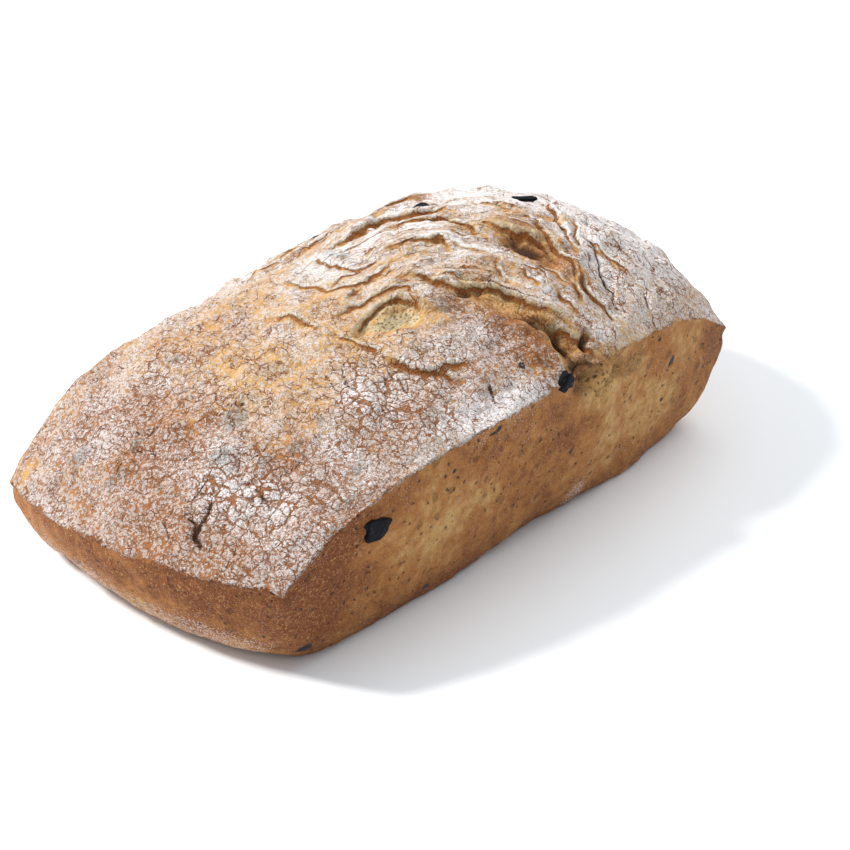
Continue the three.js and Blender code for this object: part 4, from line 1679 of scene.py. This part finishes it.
        # Painted shade in the hollows.
        hollow_shade = t.mark("shade_and_char")
        colour = t.blend((hollow_shade + fine * 0.3).over(0.3, 1.0) * 0.75, colour, self.deep)
        holes = t.from_middles(2.6, t.bent(2, 1.6)).over(0.1, 0.4)
        crumb = (t.mark("crumb") + fine * 0.9 + mottle * 1.4).over(0.35, 1.0)
        # Torn crumb on the wall, golden with painted shade in its holes.
        colour = t.blend(crumb * 0.6, colour, t.blend(holes, self.deep, self.golden))
        height = mottle * 0.6 + fine * 1.0 + grain * 0.25 - pinhole * 0.8 - dent * 1.0 + crumb * holes * 1.1
        return colour, height


@dataclass(frozen=True)
class OliveFinish:
    """Baked black olive: dark, wrinkled and dull, with a little flour on it."""

    flesh: Colour = linear(12, 12, 18)
    worn: Colour = linear(26, 24, 29)
    dust: Colour = linear(176, 172, 176)

    def material(self) -> bpy.types.Material:
        """Makes the olives' material.

        Returns:
            The material.
        """
        material = bpy.data.materials.new("baked_olive")
        t = ShaderTree(material)
        wrinkle, fine = t.noise(2.0, 3), t.noise(0.7, 3)
        colour = t.blend((wrinkle + fine * 0.6).over(0.0, 0.5), self.flesh, self.worn)
        dust = (t.noise(5.0, 3) + fine * 0.6).over(0.1, 0.5)
        colour = t.blend(dust * 0.4, colour, self.dust)
        t.surface(colour, 0.6 + wrinkle * 0.3, 0.12, wrinkle * 0.5 + fine * 0.25)
        return material


@dataclass(frozen=True)
class FloorFinish:
    """Plain white card."""

    white: Colour = (0.96, 0.96, 0.96)

    def material(self) -> bpy.types.Material:
        """Makes the floor's material.

        Returns:
            The material.
        """
        material = bpy.data.materials.new("white_card")
        ShaderTree(material).surface(self.white, 0.9)
        return material


# ---------------------------------------------------------------- pieces of olive


@dataclass
class OlivePieces:
    """The larger pieces of olive that stand in the dough, each a lump with flat cut faces."""

    form: LoafForm
    spots: tuple[Spot, ...] = (
        Spot(FRONT, (-0.68, 0.13), 5.8, 3.1, 1.2, -14),
        Spot(FRONT, (0.1, -0.01), 3.0, 2.6, 1.6, 60),
        Spot(CRUST, (0.6, 0.03), 5.6, 1.5, 0.8, -42),
        Spot(CRUST, (0.37, 0.34), 5.0, 2.2, 1.0, 10),
    )
    rings: int = 22
    spokes: int = 36
    squareness: float = 0.65  # the power that squares off the ball
    dents: float = 0.24
    first_seed: int = 5

    def lump(self, spot: Spot, seed: int) -> tuple[Array, Array]:
        """Makes one piece: a ball squared off by powers, dented by noise and laid in its wall.

        Args:
            spot: where it is; the amount is its half thickness.
            seed: picks its dents.

        Returns:
            Its points in millimetres and its faces.
        """
        tilt = np.linspace(0, math.pi, self.rings + 1)[1:-1, None]
        turn = np.linspace(0, 2 * math.pi, self.spokes, endpoint=False)[None]
        ball = np.stack(
            [np.sin(tilt) * np.cos(turn), np.sin(tilt) * np.sin(turn), np.cos(tilt) + 0 * turn], -1
        ).reshape(-1, 3)
        ball = np.vstack([ball, [[0, 0, 1], [0, 0, -1]]])
        squared = np.sign(ball) * np.abs(ball) ** self.squareness
        squared *= (1 + self.dents * rough(ball * 2 + seed, 1.5, 3, seed))[:, None]
        angle = math.radians(spot.turn)
        across = np.array([[math.cos(angle), math.sin(angle)], [-math.sin(angle), math.cos(angle)]])
        flat = squared[:, :2] * (spot.long, spot.wide) @ across
        out = squared[:, 2] * spot.amount
        centre = self.form.place(spot.region, spot.place)
        if spot.region is CRUST:
            points = centre + np.column_stack([flat, out])
        else:
            points = centre + np.column_stack([flat[:, 0], -out, flat[:, 1]])
        grid = np.arange((self.rings - 1) * self.spokes).reshape(self.rings - 1, self.spokes)
        ahead = np.roll(grid, -1, axis=1)
        quads = np.stack([grid[1:], ahead[1:], ahead[:-1], grid[:-1]], -1).reshape(-1, 4)
        first, last = len(points) - 2, len(points) - 1
        caps = [(first, a, b) for a, b in zip(grid[0], ahead[0])]
        caps += [(last, b, a) for a, b in zip(grid[-1], ahead[-1])]
        return points, quads.tolist() + caps

    def build(self) -> bpy.types.Object:
        """Joins the pieces into one object.

        Returns:
            The object.
        """
        points: list[Array] = []
        faces: list[list[int]] = []
        for seed, spot in enumerate(self.spots, start=self.first_seed):
            start = sum(len(p) for p in points)
            lump, lump_faces = self.lump(spot, seed)
            points.append(lump)
            faces += [[int(k) + start for k in face] for face in lump_faces]
        return stand("olive_pieces", smooth_mesh("olive_pieces", np.vstack(points), faces))


# ---------------------------------------------------------------- the studio


@dataclass
class Studio:
    """A white floor, a soft lamp behind the loaf, a broad one overhead, an even pale sky and the camera.

    Lengths are in metres, angles in degrees and powers in watts.
    """

    lamp_bearing: float = -40.0  # degrees from +Y towards +X
    lamp_height: float = 45.0  # degrees above the floor
    lamp_distance: float = 1.6
    lamp_size: float = 0.3
    lamp_power: float = 25.5
    overhead_place: tuple[float, float, float] = (1.1, 0.0, 1.5)
    overhead_size: float = 2.0
    overhead_power: float = 19.5
    sky: float = 0.6
    sky_colour: Colour = (0.84, 0.925, 1)
    floor_half: float = 6.0
    azimuth: float = -47.2
    elevation: float = 28.5
    distance: float = 0.792
    view_angle: float = 20.0
    loaf_middle: float = 0.035  # height of the point that the camera turns about
    aim_right: float = 0.0141
    aim_down: float = 0.0128
    sensor: float = 36  # millimetres
    nearest: float = 0.01

    def floor(self) -> bpy.types.Object:
        """Lays the floor: one wide flat square.

        Returns:
            The floor.
        """
        mesh = bpy.data.meshes.new("floor")
        half = self.floor_half
        corners = [(-half, -half, 0), (half, -half, 0), (half, half, 0), (-half, half, 0)]
        mesh.from_pydata(corners, [], [(0, 1, 2, 3)])
        mesh.materials.append(FloorFinish().material())
        return stand("floor", mesh)

    def lamp(self, name: str, place: Vector, size: float, power: float) -> None:
        """Hangs a round lamp, facing the loaf.

        Args:
            name: the lamp's name.
            place: where it hangs.
            size: how wide it is.
            power: its power.
        """
        data = bpy.data.lights.new(name, "AREA")
        data.shape, data.size, data.energy = "DISK", size, power
        lamp = stand(name, data)
        lamp.location = place
        lamp.rotation_euler = place.to_track_quat("Z", "Y").to_euler()

    def lamps(self) -> None:
        """Hangs the soft lamp behind the loaf and the broad one overhead."""
        bearing, height = math.radians(self.lamp_bearing), math.radians(self.lamp_height)
        towards = Vector(
            (math.sin(bearing) * math.cos(height), math.cos(bearing) * math.cos(height), math.sin(height))
        )
        self.lamp("soft_lamp", towards * self.lamp_distance, self.lamp_size, self.lamp_power)
        self.lamp("overhead", Vector(self.overhead_place), self.overhead_size, self.overhead_power)

    def sky_light(self) -> None:
        """Sets the even sky."""
        world = bpy.data.worlds.new("white_sky")
        world.use_nodes = True
        background = world.node_tree.nodes["Background"]
        background.inputs["Color"].default_value = (*self.sky_colour, 1)
        background.inputs["Strength"].default_value = self.sky
        bpy.context.scene.world = world

    def camera(self) -> None:
        """Sets the camera, looking just past the loaf's middle so that the shadow stays in view."""
        azimuth, elevation = math.radians(self.azimuth), math.radians(self.elevation)
        level = math.cos(elevation)
        back = Vector((math.sin(azimuth) * level, -math.cos(azimuth) * level, math.sin(elevation)))
        right = Vector((math.cos(azimuth), math.sin(azimuth), 0))
        up = back.cross(right)
        middle = Vector((0, 0, self.loaf_middle))
        aim = middle + right * self.aim_right - up * self.aim_down
        data = bpy.data.cameras.new("camera")
        data.sensor_width = self.sensor
        data.lens = self.sensor / 2 / math.tan(math.radians(self.view_angle / 2))
        data.clip_start = self.nearest
        camera = stand("camera", data)
        camera.location = middle + back * self.distance
        camera.rotation_euler = (camera.location - aim).to_track_quat("Z", "Y").to_euler()
        bpy.context.scene.camera = camera

    def build(self) -> None:
        """Builds the studio."""
        self.floor()
        self.lamps()
        self.sky_light()
        self.camera()
        bpy.context.scene.view_settings.view_transform = "Standard"


# ---------------------------------------------------------------- assembly


def main() -> None:
    """Builds the loaf, its olives and the studio, and notes the sizes."""
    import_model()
    low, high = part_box("loaf")
    form = LoafForm((high[0] - low[0]) / 2 / MM, (high[1] - low[1]) / 2 / MM)

    loaf = Loaf(form).build()
    loaf.data.materials.append(CrustFinish().material())
    olives = OlivePieces(form).build()
    olives.data.materials.append(OliveFinish().material())
    for piece in (loaf, olives):
        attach(piece, "root")
        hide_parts("loaf")
        LOG.info("built %s with %d faces", piece.name, len(piece.data.polygons))

    Studio().build()


if __name__ == "__main__":
    logging.basicConfig(level=logging.INFO, format="%(message)s")
    main()
